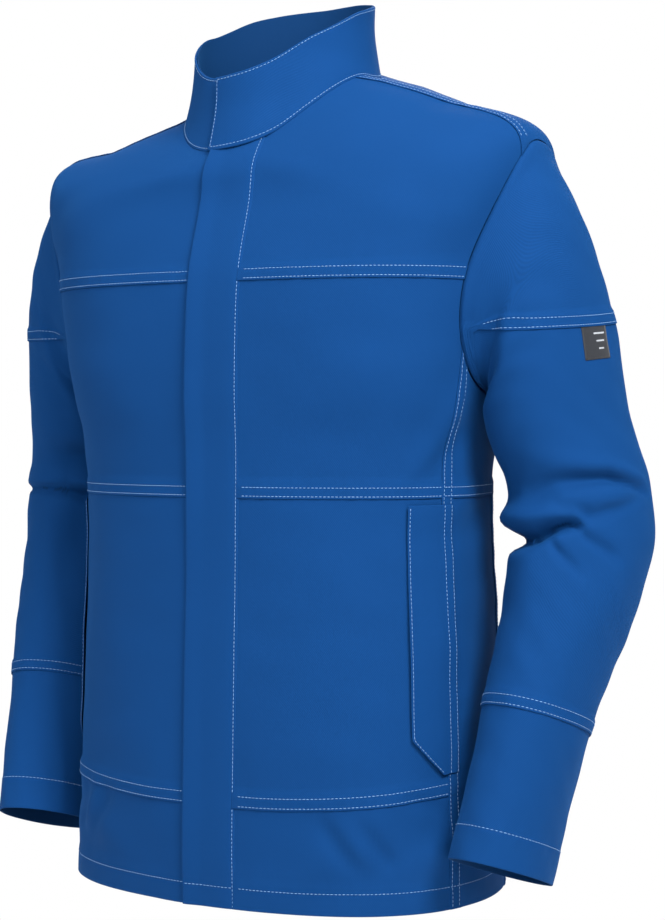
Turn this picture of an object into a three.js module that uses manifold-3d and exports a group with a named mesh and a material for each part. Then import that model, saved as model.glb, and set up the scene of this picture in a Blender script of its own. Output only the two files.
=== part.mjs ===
// A blue welder's work jacket, filled out as it is when worn: stand collar, covered press-stud front,
// side pockets with flaps, set-in sleeves that bend at the elbow. Millimetres, +Z up, the front faces -Y and
// the wearer's left is +X. The origin is the neck point that rests on the wearer, above the chest's middle.
import * as THREE from 'three';
import { mergeVertices } from 'three/addons/utils/BufferGeometryUtils.js';
import Module from 'manifold-3d';

const wasm = await Module();
wasm.setup();

// ---------------------------------------------------------------- driving dimensions
const NECK_HEIGHT = 712;          // hem to the neck point, where the origin is
const CLOTH = 2.4;                // one panel: shell cloth with its turned edges and backing
const SEAM_GAP = 0.6;             // between two panels that are sewn to each other
const JOINT_GAP = 1.6;            // between two panels that move on each other
const HEM_HALF_WIDTH = 201;
const WAIST_HALF_WIDTH = 190;
const CHEST_HALF_WIDTH = 222;
const SHOULDER_HALF_WIDTH = 246;
const NECK_HALF_WIDTH = 88;
const HEM_DEPTH = 148;            // centre to front, and nearly so to the back
const CHEST_DEPTH = 143;
const LOWER_SEAM_HEIGHT = 88;
const WAIST_SEAM_HEIGHT = 352;
const ARMPIT_HEIGHT = 446;
const SHOULDER_HEIGHT = 658;
const CHEST_SEAM_HEIGHT = 537;
const COLLAR_HEIGHT = 66;
const PLACKET_REACH = 17;         // past the middle, towards the wearer's right
const PLACKET_SEAM = 34;          // stitch line, past the middle, towards the wearer's left
const FLY_REACH = 11;             // how far the fly strip under the cover goes past the middle
const FLY_SWING = 4;              // room for the fly strip's edge to swing past the right front's edge
const STRIP = 1.6;                // thickness of the fly strip and of the placket cover
const LAYER_GAP = 0.5;            // between cloth layers that lie on each other
const STUD_COUNT = 6;
const STUD_CENTRE = 8;            // from the middle, towards the wearer's left
const POCKET_FLAP_WIDTH = 38;
const POCKET_FLAP_LOW = 116;
const POCKET_FLAP_HIGH = 345;
const FLAP_STAND_OFF = 0.8;       // the pocket flap lies this far in front of the panel
const POUCH_WIDTH = 132;
const POUCH_ROOM = 7;             // between the pouch's two cloth walls
const POUCH_WALL = 1.5;
const POUCH_GAP = 1.5;            // between the pouch and the front panel it hangs behind
const LABEL_WIDTH = 26;
const LABEL_HEIGHT = 30;
const STUD_RADIUS = 6.5;
const STUD_FIT = 0.3;             // around each press-stud part
const SIDE_SEAM = 71;             // degrees round from the front's middle to the side panel
const SHOULDER_SEAM = 78;
const ARMHOLE_HALF_ANGLE = 24;
const PATCH = 1;                  // thickness of the collar's two fastening patches

// ---------------------------------------------------------------- small helpers
const DEG = Math.PI / 180;
const lerp = (a, b, t) => a + (b - a) * t;

// Catmull-Rom through a list of numbers at whole-number places 0, 1, 2 ...
function along(values, s) {
  const last = values.length - 1;
  const i = Math.min(last - 1, Math.max(0, Math.floor(s)));
  const t = s - i;
  const at = (j) => (j < 0 ? 2 * values[0] - values[1] : j > last ? 2 * values[last] - values[last - 1] : values[j]);
  const [p, q, r, w] = [at(i - 1), at(i), at(i + 1), at(i + 2)];
  return 0.5 * (2 * q + (r - p) * t + (2 * p - 5 * q + 4 * r - w) * t * t + (3 * q - p - 3 * r + w) * t * t * t);
}

// ---------------------------------------------------------------- the body's surface
// Rings from hem to neck. half: half width. front, back: depths from the ring's own centre. centre: its y.
// lowFront, lowSide, lowBack: heights at the front, sides and back. square: how square the oval is.
const RINGS = [
  { half: HEM_HALF_WIDTH, front: HEM_DEPTH, back: 146, centre: 0, zFront: 0, zSide: 0, zBack: 0, square: 0.03 },
  { half: 199, front: HEM_DEPTH, back: 144, centre: 0, zFront: LOWER_SEAM_HEIGHT, zSide: LOWER_SEAM_HEIGHT + 12,
    zBack: LOWER_SEAM_HEIGHT + 8, square: 0.03 },
  { half: WAIST_HALF_WIDTH, front: 142, back: 136, centre: 0, zFront: WAIST_SEAM_HEIGHT, zSide: WAIST_SEAM_HEIGHT,
    zBack: WAIST_SEAM_HEIGHT, square: 0.03 },
  { half: 205, front: 146, back: 144, centre: 2, zFront: ARMPIT_HEIGHT, zSide: ARMPIT_HEIGHT, zBack: ARMPIT_HEIGHT,
    square: 0.04 },
  { half: CHEST_HALF_WIDTH, front: CHEST_DEPTH, back: 148, centre: 4, zFront: CHEST_SEAM_HEIGHT,
    zSide: CHEST_SEAM_HEIGHT, zBack: CHEST_SEAM_HEIGHT, square: 0.05 },
  { half: SHOULDER_HALF_WIDTH, front: 128, back: 130, centre: 8, zFront: 604, zSide: SHOULDER_HEIGHT, zBack: 642,
    square: 0.04 },
  { half: 170, front: 113, back: 112, centre: -2, zFront: 634, zSide: NECK_HEIGHT - 22, zBack: 706, square: 0.02 },
  { half: NECK_HALF_WIDTH, front: 93, back: 87, centre: -11, zFront: NECK_HEIGHT - 58, zSide: NECK_HEIGHT,
    zBack: NECK_HEIGHT + 28, square: 0 },
];
const HEM = 0;
const LOWER = 1;
const WAIST = 2;
const CHEST = 4;
const SHOULDER = 5;
const NECK = 7;
const ring = (key, s) => along(RINGS.map((r) => r[key]), s);

// The point at angle u (degrees, 0 at the front's middle, 90 at the wearer's left) on ring s.
function bodyPoint(u, s) {
  const a = u * DEG;
  const k = ring('square', s);
  const across = (Math.sin(a) + k * Math.sin(3 * a)) / (1 - k);
  const ahead = (Math.cos(a) - k * Math.cos(3 * a)) / (1 - k);
  const depth = ahead > 0 ? ring('front', s) : ring('back', s);
  const end = ahead > 0 ? ring('zFront', s) : ring('zBack', s);
  const toSide = Math.pow(Math.abs(Math.sin(a)), 2.4);
  return new THREE.Vector3(ring('half', s) * across, ring('centre', s) - depth * ahead,
    lerp(end, ring('zSide', s), toSide));
}

function bodyNormal(u, s) {
  const du = bodyPoint(u + 0.5, s).sub(bodyPoint(u - 0.5, s));
  const ds = bodyPoint(u, s + 0.01).sub(bodyPoint(u, s - 0.01));
  return du.cross(ds).normalize();
}

// The angle on ring s whose x is the one asked for, on the front.
function angleAtX(x, s) {
  let low = -80;
  let high = 80;
  for (let i = 0; i < 40; i++) {
    const mid = (low + high) / 2;
    if (bodyPoint(mid, s).x < x) low = mid;
    else high = mid;
  }
  return low;
}

// ---------------------------------------------------------------- closed shells from a two-way patch
// outer(x, y) and inner(x, y), x and y from 0 to 1, are the two faces. wrapped: x = 1 meets x = 0.
function shell(outer, inner, nx, ny, wrapped = false) {
  const positions = [];
  const index = [];
  const columns = wrapped ? nx : nx + 1;
  for (const face of [outer, inner])
    for (let j = 0; j <= ny; j++)
      for (let i = 0; i < columns; i++) positions.push(...face(i / nx, j / ny).toArray());
  const at = (side, i, j) => side * columns * (ny + 1) + j * columns + (wrapped ? i % nx : i);
  const quad = (a, b, c, d) => index.push(a, b, c, a, c, d);
  for (let j = 0; j < ny; j++)
    for (let i = 0; i < nx; i++) {
      quad(at(0, i, j), at(0, i + 1, j), at(0, i + 1, j + 1), at(0, i, j + 1));
      quad(at(1, i, j), at(1, i, j + 1), at(1, i + 1, j + 1), at(1, i + 1, j));
    }
  for (let i = 0; i < nx; i++) {
    quad(at(1, i, 0), at(1, i + 1, 0), at(0, i + 1, 0), at(0, i, 0));
    quad(at(0, i, ny), at(0, i + 1, ny), at(1, i + 1, ny), at(1, i, ny));
  }
  if (!wrapped)
    for (let j = 0; j < ny; j++) {
      quad(at(0, 0, j), at(0, 0, j + 1), at(1, 0, j + 1), at(1, 0, j));
      quad(at(1, nx, j), at(1, nx, j + 1), at(0, nx, j + 1), at(0, nx, j));
    }
  const geometry = new THREE.BufferGeometry();
  geometry.setAttribute('position', new THREE.Float32BufferAttribute(positions, 3));
  geometry.setIndex(index);
  return geometry;
}

const toManifold = (geometry) => {
  const merged = mergeVertices(geometry, 1e-5);
  return new wasm.Manifold(new wasm.Mesh({ numProp: 3,
    vertProperties: new Float32Array(merged.attributes.position.array),
    triVerts: new Uint32Array(merged.index.array) }));
};
const toGeometry = (solid) => {
  const mesh = solid.getMesh();
  const geometry = new THREE.BufferGeometry();
  geometry.setAttribute('position', new THREE.Float32BufferAttribute(mesh.vertProperties, 3));
  geometry.setIndex(Array.from(mesh.triVerts));
  return geometry;
};
const cut = (geometry, ...tools) => {
  let solid = toManifold(geometry);
  for (const tool of tools) solid = solid.subtract(toManifold(tool));
  return toGeometry(solid);
};

function mirrored(geometry) {
  const copy = geometry.clone();
  const position = copy.attributes.position;
  for (let i = 0; i < position.count; i++) position.setX(i, -position.getX(i));
  const index = copy.index.array;
  for (let i = 0; i < index.length; i += 3) [index[i], index[i + 2]] = [index[i + 2], index[i]];
  return copy;
}

// A patch of the body's surface: left and right are functions of s giving the angle of each side edge. Its rows
// stand at the same ring numbers on every patch, so that neighbours follow each other along their seam.
const ROW = 0.25;
function bodyPatch(left, right, low, high, from, to, nx) {
  const rows = [low];
  for (let s = ROW * Math.ceil((low + ROW / 4) / ROW); s < high - ROW / 4; s += ROW) rows.push(s);
  rows.push(high);
  const point = (depth) => (x, y) => {
    const s = rows[Math.round(y * (rows.length - 1))];
    const u = lerp(left(s), right(s), x);
    return bodyPoint(u, s).addScaledVector(bodyNormal(u, s), depth);
  };
  return shell(point(to), point(from), nx, rows.length - 1);
}

// ---------------------------------------------------------------- the parts
const group = new THREE.Group();
group.name = 'work_jacket';
const COLOURS = { cloth: 0x1b539c, lining: 0x1a4687, thread: 0x9fb9dd, metal: 0x8d9196, label: 0x2b3036,
  patch: 0x1a3560 };

function add(name, geometry, material, rough = 0.9, metal = 0) {
  const clean = geometry.index ? geometry : mergeVertices(geometry);
  clean.computeVertexNormals();
  const mesh = new THREE.Mesh(clean, new THREE.MeshStandardMaterial({ color: COLOURS[material], roughness: rough,
    metalness: metal }));
  mesh.name = name;
  mesh.material.name = material;
  mesh.position.z = -NECK_HEIGHT;
  group.add(mesh);
}

function addPair(name, geometry, material) {
  add(`${name}_left`, geometry, material);
  add(`${name}_right`, mirrored(geometry), material);
}

// Gaps along the surface, turned into steps of the ring number and of the angle.
const ringStep = (s) => bodyPoint(40, s + 0.05).distanceTo(bodyPoint(40, s - 0.05)) / 0.1;
const seamS = (s, side) => s + side * SEAM_GAP / 2 / ringStep(Math.min(NECK - 0.1, Math.max(0.1, s)));
const angleStep = (u, s) => bodyPoint(u + 1, s).distanceTo(bodyPoint(u - 1, s)) / 2;
const seamU = (u, side) => (s) => u + side * SEAM_GAP / 2 / angleStep(u, s);

// The armhole: an oval in angle and ring number.
const ARMHOLE_LOW = 2.94;
const armholeMiddle = (ARMHOLE_LOW + SHOULDER) / 2;
const armholeReach = (SHOULDER - ARMHOLE_LOW) / 2;
const armholePoint = (phi, inset) => {
  const u = 90 - (ARMHOLE_HALF_ANGLE - inset / 2.6) * Math.sin(phi);
  const s = armholeMiddle + (armholeReach - inset / 104) * Math.cos(phi);
  return { point: bodyPoint(u, s), normal: bodyNormal(u, s) };
};
const PLUG_SIDES = 28;
const PLUG_OUT = 45;
const PLUG_IN = 22;
function armholePlug() {
  const positions = [];
  const index = [];
  const ends = [new THREE.Vector3(), new THREE.Vector3()];
  for (let i = 0; i < PLUG_SIDES; i++) {
    const { point, normal } = armholePoint(2 * Math.PI * i / PLUG_SIDES, 0);
    const out = point.clone().addScaledVector(normal, PLUG_OUT);
    const inside = point.clone().addScaledVector(normal, -PLUG_IN);
    ends[0].addScaledVector(out, 1 / PLUG_SIDES);
    ends[1].addScaledVector(inside, 1 / PLUG_SIDES);
    positions.push(...out.toArray(), ...inside.toArray());
  }
  ends[0].x += PLUG_OUT;
  const middleOut = PLUG_SIDES * 2;
  const middleIn = middleOut + 1;
  positions.push(...ends[0].toArray(), ...ends[1].toArray());
  for (let i = 0; i < PLUG_SIDES; i++) {
    const a = 2 * i;
    const b = 2 * ((i + 1) % PLUG_SIDES);
    index.push(a, b + 1, b, a, a + 1, b + 1);
    index.push(middleOut, a, b, middleIn, b + 1, a + 1);
  }
  const geometry = new THREE.BufferGeometry();
  geometry.setAttribute('position', new THREE.Float32BufferAttribute(positions, 3));
  geometry.setIndex(index);
  return geometry;
}
const plug = armholePlug();
const plugRight = mirrored(plug);

// Front panels: the left front starts at the placket seam, the right front under the placket's free edge.
const leftEdge = (s) => angleAtX(PLACKET_SEAM + SEAM_GAP, s);
const rightEdge = (s) => angleAtX(FLY_REACH + FLY_SWING, s);
const FRONT_COLUMNS = 7;
const FRONT_PIECES = [
  ['front_hem', HEM, LOWER, SIDE_SEAM],
  ['front_lower', LOWER, WAIST, SIDE_SEAM],
  ['front_chest', WAIST, CHEST, SIDE_SEAM],
  ['front_yoke', CHEST, NECK, SHOULDER_SEAM],
];
for (const [name, low, high, side] of FRONT_PIECES) {
  const bottom = low === HEM ? HEM : seamS(low, 1);
  const top = seamS(high, -1);
  const make = (edge) => {
    const sheet = bodyPatch(edge, seamU(side, -1), bottom, top, -CLOTH, 0, FRONT_COLUMNS);
    return low >= WAIST ? cut(sheet, plug) : sheet;
  };
  add(`${name}_left`, make(leftEdge), 'cloth');
  add(`${name}_right`, mirrored(make(rightEdge)), 'cloth');
}

const BACK_SEAM = 180 - SIDE_SEAM;
const SIDE_TOP = 3.6;
const SIDE_COLUMNS = 5;
const BACK_COLUMNS = 14;
const YOKE_COLUMNS = 20;
addPair('side_lower', bodyPatch(seamU(SIDE_SEAM, 1), seamU(BACK_SEAM, -1), HEM, seamS(WAIST, -1), -CLOTH, 0, SIDE_COLUMNS),
  'cloth');
addPair('side_upper', cut(bodyPatch(seamU(SIDE_SEAM, 1), seamU(BACK_SEAM, -1), seamS(WAIST, 1), SIDE_TOP, -CLOTH, 0,
  SIDE_COLUMNS), plug), 'cloth');

const BACK_YOKE_LOW = 4.45;
const around = (u, side) => seamU(360 - u, side);
add('back_lower', bodyPatch(seamU(BACK_SEAM, 1), around(BACK_SEAM, -1), HEM, seamS(WAIST, -1), -CLOTH, 0, BACK_COLUMNS),
  'cloth');
add('back_upper', cut(bodyPatch(seamU(BACK_SEAM, 1), around(BACK_SEAM, -1), seamS(WAIST, 1),
  seamS(BACK_YOKE_LOW, -1), -CLOTH, 0, BACK_COLUMNS), plug, plugRight), 'cloth');
add('back_yoke', cut(bodyPatch(seamU(SHOULDER_SEAM, 1), around(SHOULDER_SEAM, -1), seamS(BACK_YOKE_LOW, 1),
  seamS(NECK, -1), -CLOTH, 0, YOKE_COLUMNS), plug, plugRight), 'cloth');

// ---------------------------------------------------------------- the front opening, from the inside out
const STUD_LOW = 60;
const STUD_PITCH = 108;
const atX = (x) => (s) => angleAtX(x, s);
const underlapOut = -(CLOTH + LAYER_GAP);
const underlapIn = underlapOut - CLOTH;
const UNDERLAP_REACH = 44;
const UNDERLAP_BACK = 30;

// Where a press stud stands: the point of the front whose height is z.
function studPlace(z) {
  let low = HEM;
  let high = NECK;
  for (let i = 0; i < 40; i++) {
    const mid = (low + high) / 2;
    if (bodyPoint(angleAtX(STUD_CENTRE, mid), mid).z < z) low = mid;
    else high = mid;
  }
  const u = angleAtX(STUD_CENTRE, low);
  return { point: bodyPoint(u, low), normal: bodyNormal(u, low) };
}
// A round bar along the place's normal, from one depth to another.
function bar(place, radius, from, to, sides = 12) {
  const geometry = new THREE.CylinderGeometry(radius, radius, to - from, sides);
  geometry.deleteAttribute('normal');
  geometry.deleteAttribute('uv');
  const turn = new THREE.Quaternion().setFromUnitVectors(new THREE.Vector3(0, 1, 0), place.normal);
  geometry.applyQuaternion(turn);
  const middle = place.point.clone().addScaledVector(place.normal, (from + to) / 2);
  geometry.translate(middle.x, middle.y, middle.z);
  return mergeVertices(geometry, 1e-4);
}
const RIM = 0.25;                 // how far each press-stud part stands out of its cloth
const POST_RADIUS = 2;
const RECESS_RADIUS = 4;          // the post leaves it at a slant as the fly strip swings
const STRIP_TOP = NECK - ROW;      // a row lower than the neck seam, so both strips swing clear of the collar
const POST_TOP = -0.7;
const places = Array.from({ length: STUD_COUNT }, (_, i) => studPlace(STUD_LOW + i * STUD_PITCH));
const holes = (from, to) => places.map((place) => bar(place, STUD_RADIUS + STUD_FIT, from - 3, to + 3));

add('fly', cut(bodyPatch(atX(-FLY_REACH), atX(PLACKET_SEAM - JOINT_GAP), HEM, STRIP_TOP, -STRIP, 0, 2),
  ...holes(-STRIP, 0)), 'lining');
add('underlap', cut(bodyPatch(atX(-UNDERLAP_BACK), atX(UNDERLAP_REACH), HEM, seamS(NECK, -1), underlapIn,
  underlapOut, 2), ...holes(underlapIn, underlapOut)), 'lining');
add('placket_cover', bodyPatch(atX(-PLACKET_REACH), atX(PLACKET_SEAM - JOINT_GAP), HEM, STRIP_TOP, LAYER_GAP,
  LAYER_GAP + STRIP, 2), 'cloth');
places.forEach((place, i) => {
  const socket = cut(bar(place, STUD_RADIUS, -STRIP - RIM, RIM), bar(place, RECESS_RADIUS, -STRIP - 1,
    POST_TOP + STUD_FIT));
  add(`socket_${i + 1}`, socket, 'metal', 0.35, 0.9);
  const stud = toManifold(bar(place, STUD_RADIUS, underlapIn - RIM, -STRIP - RIM - STUD_FIT))
    .add(toManifold(bar(place, POST_RADIUS, underlapIn, POST_TOP)));
  add(`stud_${i + 1}`, toGeometry(stud), 'metal', 0.35, 0.9);
});

// ---------------------------------------------------------------- the collar
const COLLAR_TOP_HALF = 80;
const COLLAR_TOP_FRONT = 84;
const COLLAR_TOP_BACK = 82;
const COLLAR_TOP_CENTRE = -8;
function collarPoint(u, t, depth) {
  const a = u * DEG;
  const base = bodyPoint(u, NECK);
  const back = Math.cos(a) < 0;
  const top = new THREE.Vector3(COLLAR_TOP_HALF * Math.sin(a),
    COLLAR_TOP_CENTRE - (back ? COLLAR_TOP_BACK : COLLAR_TOP_FRONT) * Math.cos(a), base.z + COLLAR_HEIGHT);
  const flare = 2.5 * Math.sin(Math.PI * t);
  const out = new THREE.Vector3(Math.sin(a), -Math.cos(a), 0);
  return base.lerp(top, t).addScaledVector(out, depth - flare);
}
function collarPatch(from, to, low, high, inside, outside, nx) {
  const point = (depth) => (x, y) => collarPoint(lerp(from, to, x), lerp(low, high, y), depth);
  return shell(point(outside), point(inside), nx, 3);
}
const COLLAR_LOW = 0.015;
const TAB_HINGE = 34;             // degrees from the front's middle to where the tab folds back
const COLLAR_END = 11;
const COLLAR_CLOTH = 2;
const LINING = 1.5;
const collarGap = SEAM_GAP / 2 / 1.5;
const liningOut = -(COLLAR_CLOTH + LAYER_GAP);
add('collar_left', collarPatch(TAB_HINGE + 1, 180 - collarGap, COLLAR_LOW, 1, -COLLAR_CLOTH, 0, 12), 'cloth');
add('collar_right', collarPatch(180 + collarGap, 360 + COLLAR_END, COLLAR_LOW, 1, -COLLAR_CLOTH, 0, 15), 'cloth');
add('collar_lining', collarPatch(TAB_HINGE + 1, 360 + COLLAR_END, COLLAR_LOW, 0.97, liningOut - LINING, liningOut,
  26), 'lining');
const hookIn = PATCH + 2 * STUD_FIT;
const tabIn = hookIn + PATCH + STUD_FIT;
add('collar_tab', collarPatch(-COLLAR_END, TAB_HINGE - 1, COLLAR_LOW, 1, tabIn, tabIn + COLLAR_CLOTH, 8), 'cloth');
add('collar_loop', collarPatch(-COLLAR_END + 2, COLLAR_END - 2, 0.14, 0.86, STUD_FIT, STUD_FIT + PATCH, 5), 'patch');
add('collar_hook', collarPatch(-COLLAR_END + 2, COLLAR_END - 2, 0.14, 0.86, hookIn, hookIn + PATCH, 5), 'patch');

// The hanger loop: a tape that hangs in a bow inside the back of the neck.
const HANGER_HALF = 34;
const HANGER_DROP = 22;
const HANGER_WIDTH = 6;
const HANGER_CLOTH = 1.4;
const HANGER_ANGLE = 180 - Math.asin(HANGER_HALF / NECK_HALF_WIDTH) / DEG;
const HANGER_CLEAR = 3;           // between the hanger loop's ends and the collar lining
const hangerEnd = collarPoint(HANGER_ANGLE, 0.09, liningOut - LINING - HANGER_CLEAR);
const hangerPoint = (x, y, depth) => {
  const a = Math.PI * x;
  const inward = HANGER_WIDTH * y;
  return new THREE.Vector3((HANGER_HALF - inward) * Math.cos(a), hangerEnd.y - depth,
    hangerEnd.z - (HANGER_DROP - inward) * Math.sin(a));
};
add('hanger_loop', shell((x, y) => hangerPoint(1 - x, y, HANGER_CLOTH), (x, y) => hangerPoint(1 - x, y, 0), 12, 1),
  'lining');

// ---------------------------------------------------------------- side pockets
// Height to ring number, along the side-front seam.
function ringAtHeight(z, u) {
  let low = HEM;
  let high = CHEST;
  for (let i = 0; i < 40; i++) {
    const mid = (low + high) / 2;
    if (bodyPoint(u, mid).z < z) low = mid;
    else high = mid;
  }
  return low;
}
const flapLow = ringAtHeight(POCKET_FLAP_LOW, SIDE_SEAM);
const flapHigh = ringAtHeight(POCKET_FLAP_HIGH, SIDE_SEAM);
const FLAP_ANGLE = POCKET_FLAP_WIDTH / 2.75;
const FLAP_CORNER = 0.16;         // share of the flap's height taken by its cut lower corner
const flapRoot = (s) => SIDE_SEAM - JOINT_GAP / angleStep(SIDE_SEAM, s);
const flapEdge = (s) => {
  const up = Math.min(1, (s - flapLow) / (flapHigh - flapLow) / FLAP_CORNER);
  return flapRoot(s) - FLAP_ANGLE * lerp(0.3, 1, up);
};
addPair('pocket_flap', bodyPatch(flapEdge, flapRoot, flapLow, flapHigh, FLAP_STAND_OFF, FLAP_STAND_OFF + CLOTH, 2),
  'cloth');

const POUCH_LOW = POCKET_FLAP_LOW + 2;
const POUCH_HIGH = POCKET_FLAP_HIGH - 16;
const pouchOut = -(CLOTH + POUCH_GAP);
const pouchIn = pouchOut - 2 * POUCH_WALL - POUCH_ROOM;
const pouchLow = ringAtHeight(POUCH_LOW, SIDE_SEAM);
const pouchHigh = ringAtHeight(POUCH_HIGH, SIDE_SEAM);
const POUCH_ANGLE = POUCH_WIDTH / 2.6;
const mouth = SIDE_SEAM - 2;
const wallS = POUCH_WALL / ringStep(1.5);
const wallU = POUCH_WALL / 2.6;
addPair('pocket_pouch', cut(
  bodyPatch(() => mouth - POUCH_ANGLE, () => mouth, pouchLow, pouchHigh, pouchIn, pouchOut, 6),
  bodyPatch(() => mouth - POUCH_ANGLE + wallU, () => mouth + 3, pouchLow + wallS, pouchHigh - wallS,
    pouchIn + POUCH_WALL, pouchOut - POUCH_WALL, 6)), 'lining');

// ---------------------------------------------------------------- the sleeves
// Rings down the left sleeve. lean: how far the ring has turned from the armhole's upright plane to level.
// ahead: how far the sleeve below leans forward. wide and deep: half sizes across and front to back.
const SLEEVE = [
  { x: 240, y: 16, z: 521, lean: 22, ahead: 0, wide: 89, deep: 69 },
  { x: 248, y: 23, z: 493, lean: 34, ahead: 0, wide: 71, deep: 73 },
  { x: 252, y: 32, z: 463, lean: 52, ahead: 0, wide: 56.5, deep: 76 },
  { x: 255, y: 41, z: 408, lean: 76, ahead: 2, wide: 50, deep: 76 },
  { x: 263, y: 50, z: 346, lean: 90, ahead: 6, wide: 53, deep: 71 },
  { x: 262, y: 30, z: 256, lean: 93, ahead: 15, wide: 50, deep: 67 },
  { x: 251, y: -6, z: 160, lean: 95, ahead: 19, wide: 45, deep: 62 },
  { x: 237, y: -50, z: 36, lean: 95, ahead: 19, wide: 41, deep: 58 },
];
const BICEPS_RING = 3;            // ring numbers along the sleeve, 0 being the armhole
const ELBOW_RING = 5.15;
const FOREARM_RING = 7;
const CUFF_RING = 8;

function sleeveRing(k, phi) {
  if (k === 0) return armholePoint(phi, JOINT_GAP).point;
  const { x, y, z, lean, ahead, wide, deep } = SLEEVE[k - 1];
  const across = new THREE.Vector3(Math.sin(lean * DEG), 0, Math.cos(lean * DEG));
  const front = new THREE.Vector3(0, -1, 0);
  const turn = -ahead * DEG;
  across.applyAxisAngle(new THREE.Vector3(1, 0, 0), turn);
  front.applyAxisAngle(new THREE.Vector3(1, 0, 0), turn);
  return new THREE.Vector3(x, y, z).addScaledVector(across, wide * Math.cos(phi))
    .addScaledVector(front, deep * Math.sin(phi));
}
function sleevePoint(phi, k) {
  const rings = Array.from({ length: CUFF_RING + 1 }, (_, i) => sleeveRing(i, phi));
  return new THREE.Vector3(along(rings.map((p) => p.x), k), along(rings.map((p) => p.y), k),
    along(rings.map((p) => p.z), k));
}
function sleeveNormal(phi, k) {
  const dp = sleevePoint(phi + 0.01, k).sub(sleevePoint(phi - 0.01, k));
  const dk = sleevePoint(phi, k + 0.01).sub(sleevePoint(phi, Math.max(0, k - 0.01)));
  return dp.cross(dk).normalize();
}
const sleeveAt = (phi, k, depth) => sleevePoint(phi, k).addScaledVector(sleeveNormal(phi, k), depth);
const sleeveLength = (k) => sleevePoint(0, k + 0.02).distanceTo(sleevePoint(0, k - 0.02)) / 0.04;
const SLEEVE_SIDES = 20;
const SLEEVE_GAP = 1;             // between two sewn sleeve pieces
function sleeveTube(low, high, rows) {
  const point = (depth) => (x, y) => sleeveAt(2 * Math.PI * x, lerp(low, high, y), depth);
  return shell(point(0), point(-CLOTH), SLEEVE_SIDES, rows, true);
}
const seamK = (k, side, gap) => k + side * gap / 2 / sleeveLength(k);
const SLEEVE_PIECES = [
  ['sleeve_cap', 0, seamK(BICEPS_RING, -1, SLEEVE_GAP), 7],
  ['sleeve_upper', seamK(BICEPS_RING, 1, SLEEVE_GAP), seamK(ELBOW_RING, -1, JOINT_GAP), 5],
  ['sleeve_lower', seamK(ELBOW_RING, 1, JOINT_GAP), seamK(FOREARM_RING, -1, SLEEVE_GAP), 4],
  ['sleeve_cuff', seamK(FOREARM_RING, 1, SLEEVE_GAP), CUFF_RING, 3],
];
for (const [name, low, high, rows] of SLEEVE_PIECES) addPair(name, sleeveTube(low, high, rows), 'cloth');

// The label on the left sleeve, just below the biceps seam on the outside.
const LABEL_PHI = 0.25;
const labelStart = BICEPS_RING + 4 / sleeveLength(BICEPS_RING + 0.1);
const labelEnd = labelStart + LABEL_HEIGHT / sleeveLength(BICEPS_RING + 0.3);
const labelSpan = LABEL_WIDTH / 52 / 2;
const labelPoint = (depth) => (x, y) => sleeveAt(lerp(LABEL_PHI - labelSpan, LABEL_PHI + labelSpan, x),
  lerp(labelStart, labelEnd, y), depth);
add('sleeve_label', shell(labelPoint(1.2), labelPoint(0.4), 4, 4), 'label');

export default group;
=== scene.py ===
"""A royal blue welder's work jacket, filled out as when it is worn, on a pale studio floor.

Metres, +Z up, the wearer's front at -Y. The pattern is worked out in millimetres, with heights from the hem.
"""
import math

import bmesh
import bpy
import numpy as np
from bpy.props import FloatProperty, FloatVectorProperty, IntProperty, PointerProperty
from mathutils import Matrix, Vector
from mathutils.bvhtree import BVHTree


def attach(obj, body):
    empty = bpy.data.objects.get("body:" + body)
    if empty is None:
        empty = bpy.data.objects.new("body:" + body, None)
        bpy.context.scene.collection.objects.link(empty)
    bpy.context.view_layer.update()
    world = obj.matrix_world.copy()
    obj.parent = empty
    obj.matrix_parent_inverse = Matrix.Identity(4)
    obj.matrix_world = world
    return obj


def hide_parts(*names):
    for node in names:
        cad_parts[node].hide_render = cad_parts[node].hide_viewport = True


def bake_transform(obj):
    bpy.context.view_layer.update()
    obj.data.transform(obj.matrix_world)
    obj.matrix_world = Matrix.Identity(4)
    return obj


bl_info = {
    "name": "Work jacket",
    "version": (1, 0, 0),
    "blender": (4, 5, 0),
    "location": "3D View > Sidebar > Jacket",
    "description": "Makes a welder's work jacket of twill cloth round its frame",
    "category": "Object",
}

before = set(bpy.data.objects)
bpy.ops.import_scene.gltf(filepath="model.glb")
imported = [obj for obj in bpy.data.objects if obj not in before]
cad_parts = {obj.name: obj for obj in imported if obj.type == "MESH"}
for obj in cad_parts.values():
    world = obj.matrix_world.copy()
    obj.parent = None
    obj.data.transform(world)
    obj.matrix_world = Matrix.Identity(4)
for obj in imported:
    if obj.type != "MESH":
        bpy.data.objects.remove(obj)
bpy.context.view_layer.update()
MM = 0.001


# ---------------------------------------------------------------- the jacket's pattern
# The same driving sizes as the frame has. Heights are counted from the hem, in millimetres.
NECK_HEIGHT = 712.0
# Rings from hem to neck: half width, front and back depth, centre, heights at front, side and back, squareness.
RINGS = np.array([
    (201, 148, 146, 0, 0, 0, 0, 0.03),
    (199, 148, 144, 0, 88, 100, 96, 0.03),
    (190, 142, 136, 0, 352, 352, 352, 0.03),
    (205, 146, 144, 2, 446, 446, 446, 0.04),
    (222, 143, 148, 4, 537, 537, 537, 0.05),
    (246, 128, 130, 8, 604, 658, 642, 0.04),
    (170, 113, 112, -2, 634, 690, 706, 0.02),
    (88, 93, 87, -11, 654, 712, 740, 0.0),
])
HEM, LOWER, WAIST, CHEST, SHOULDER, NECK = 0, 1, 2, 4, 5, 7
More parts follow.
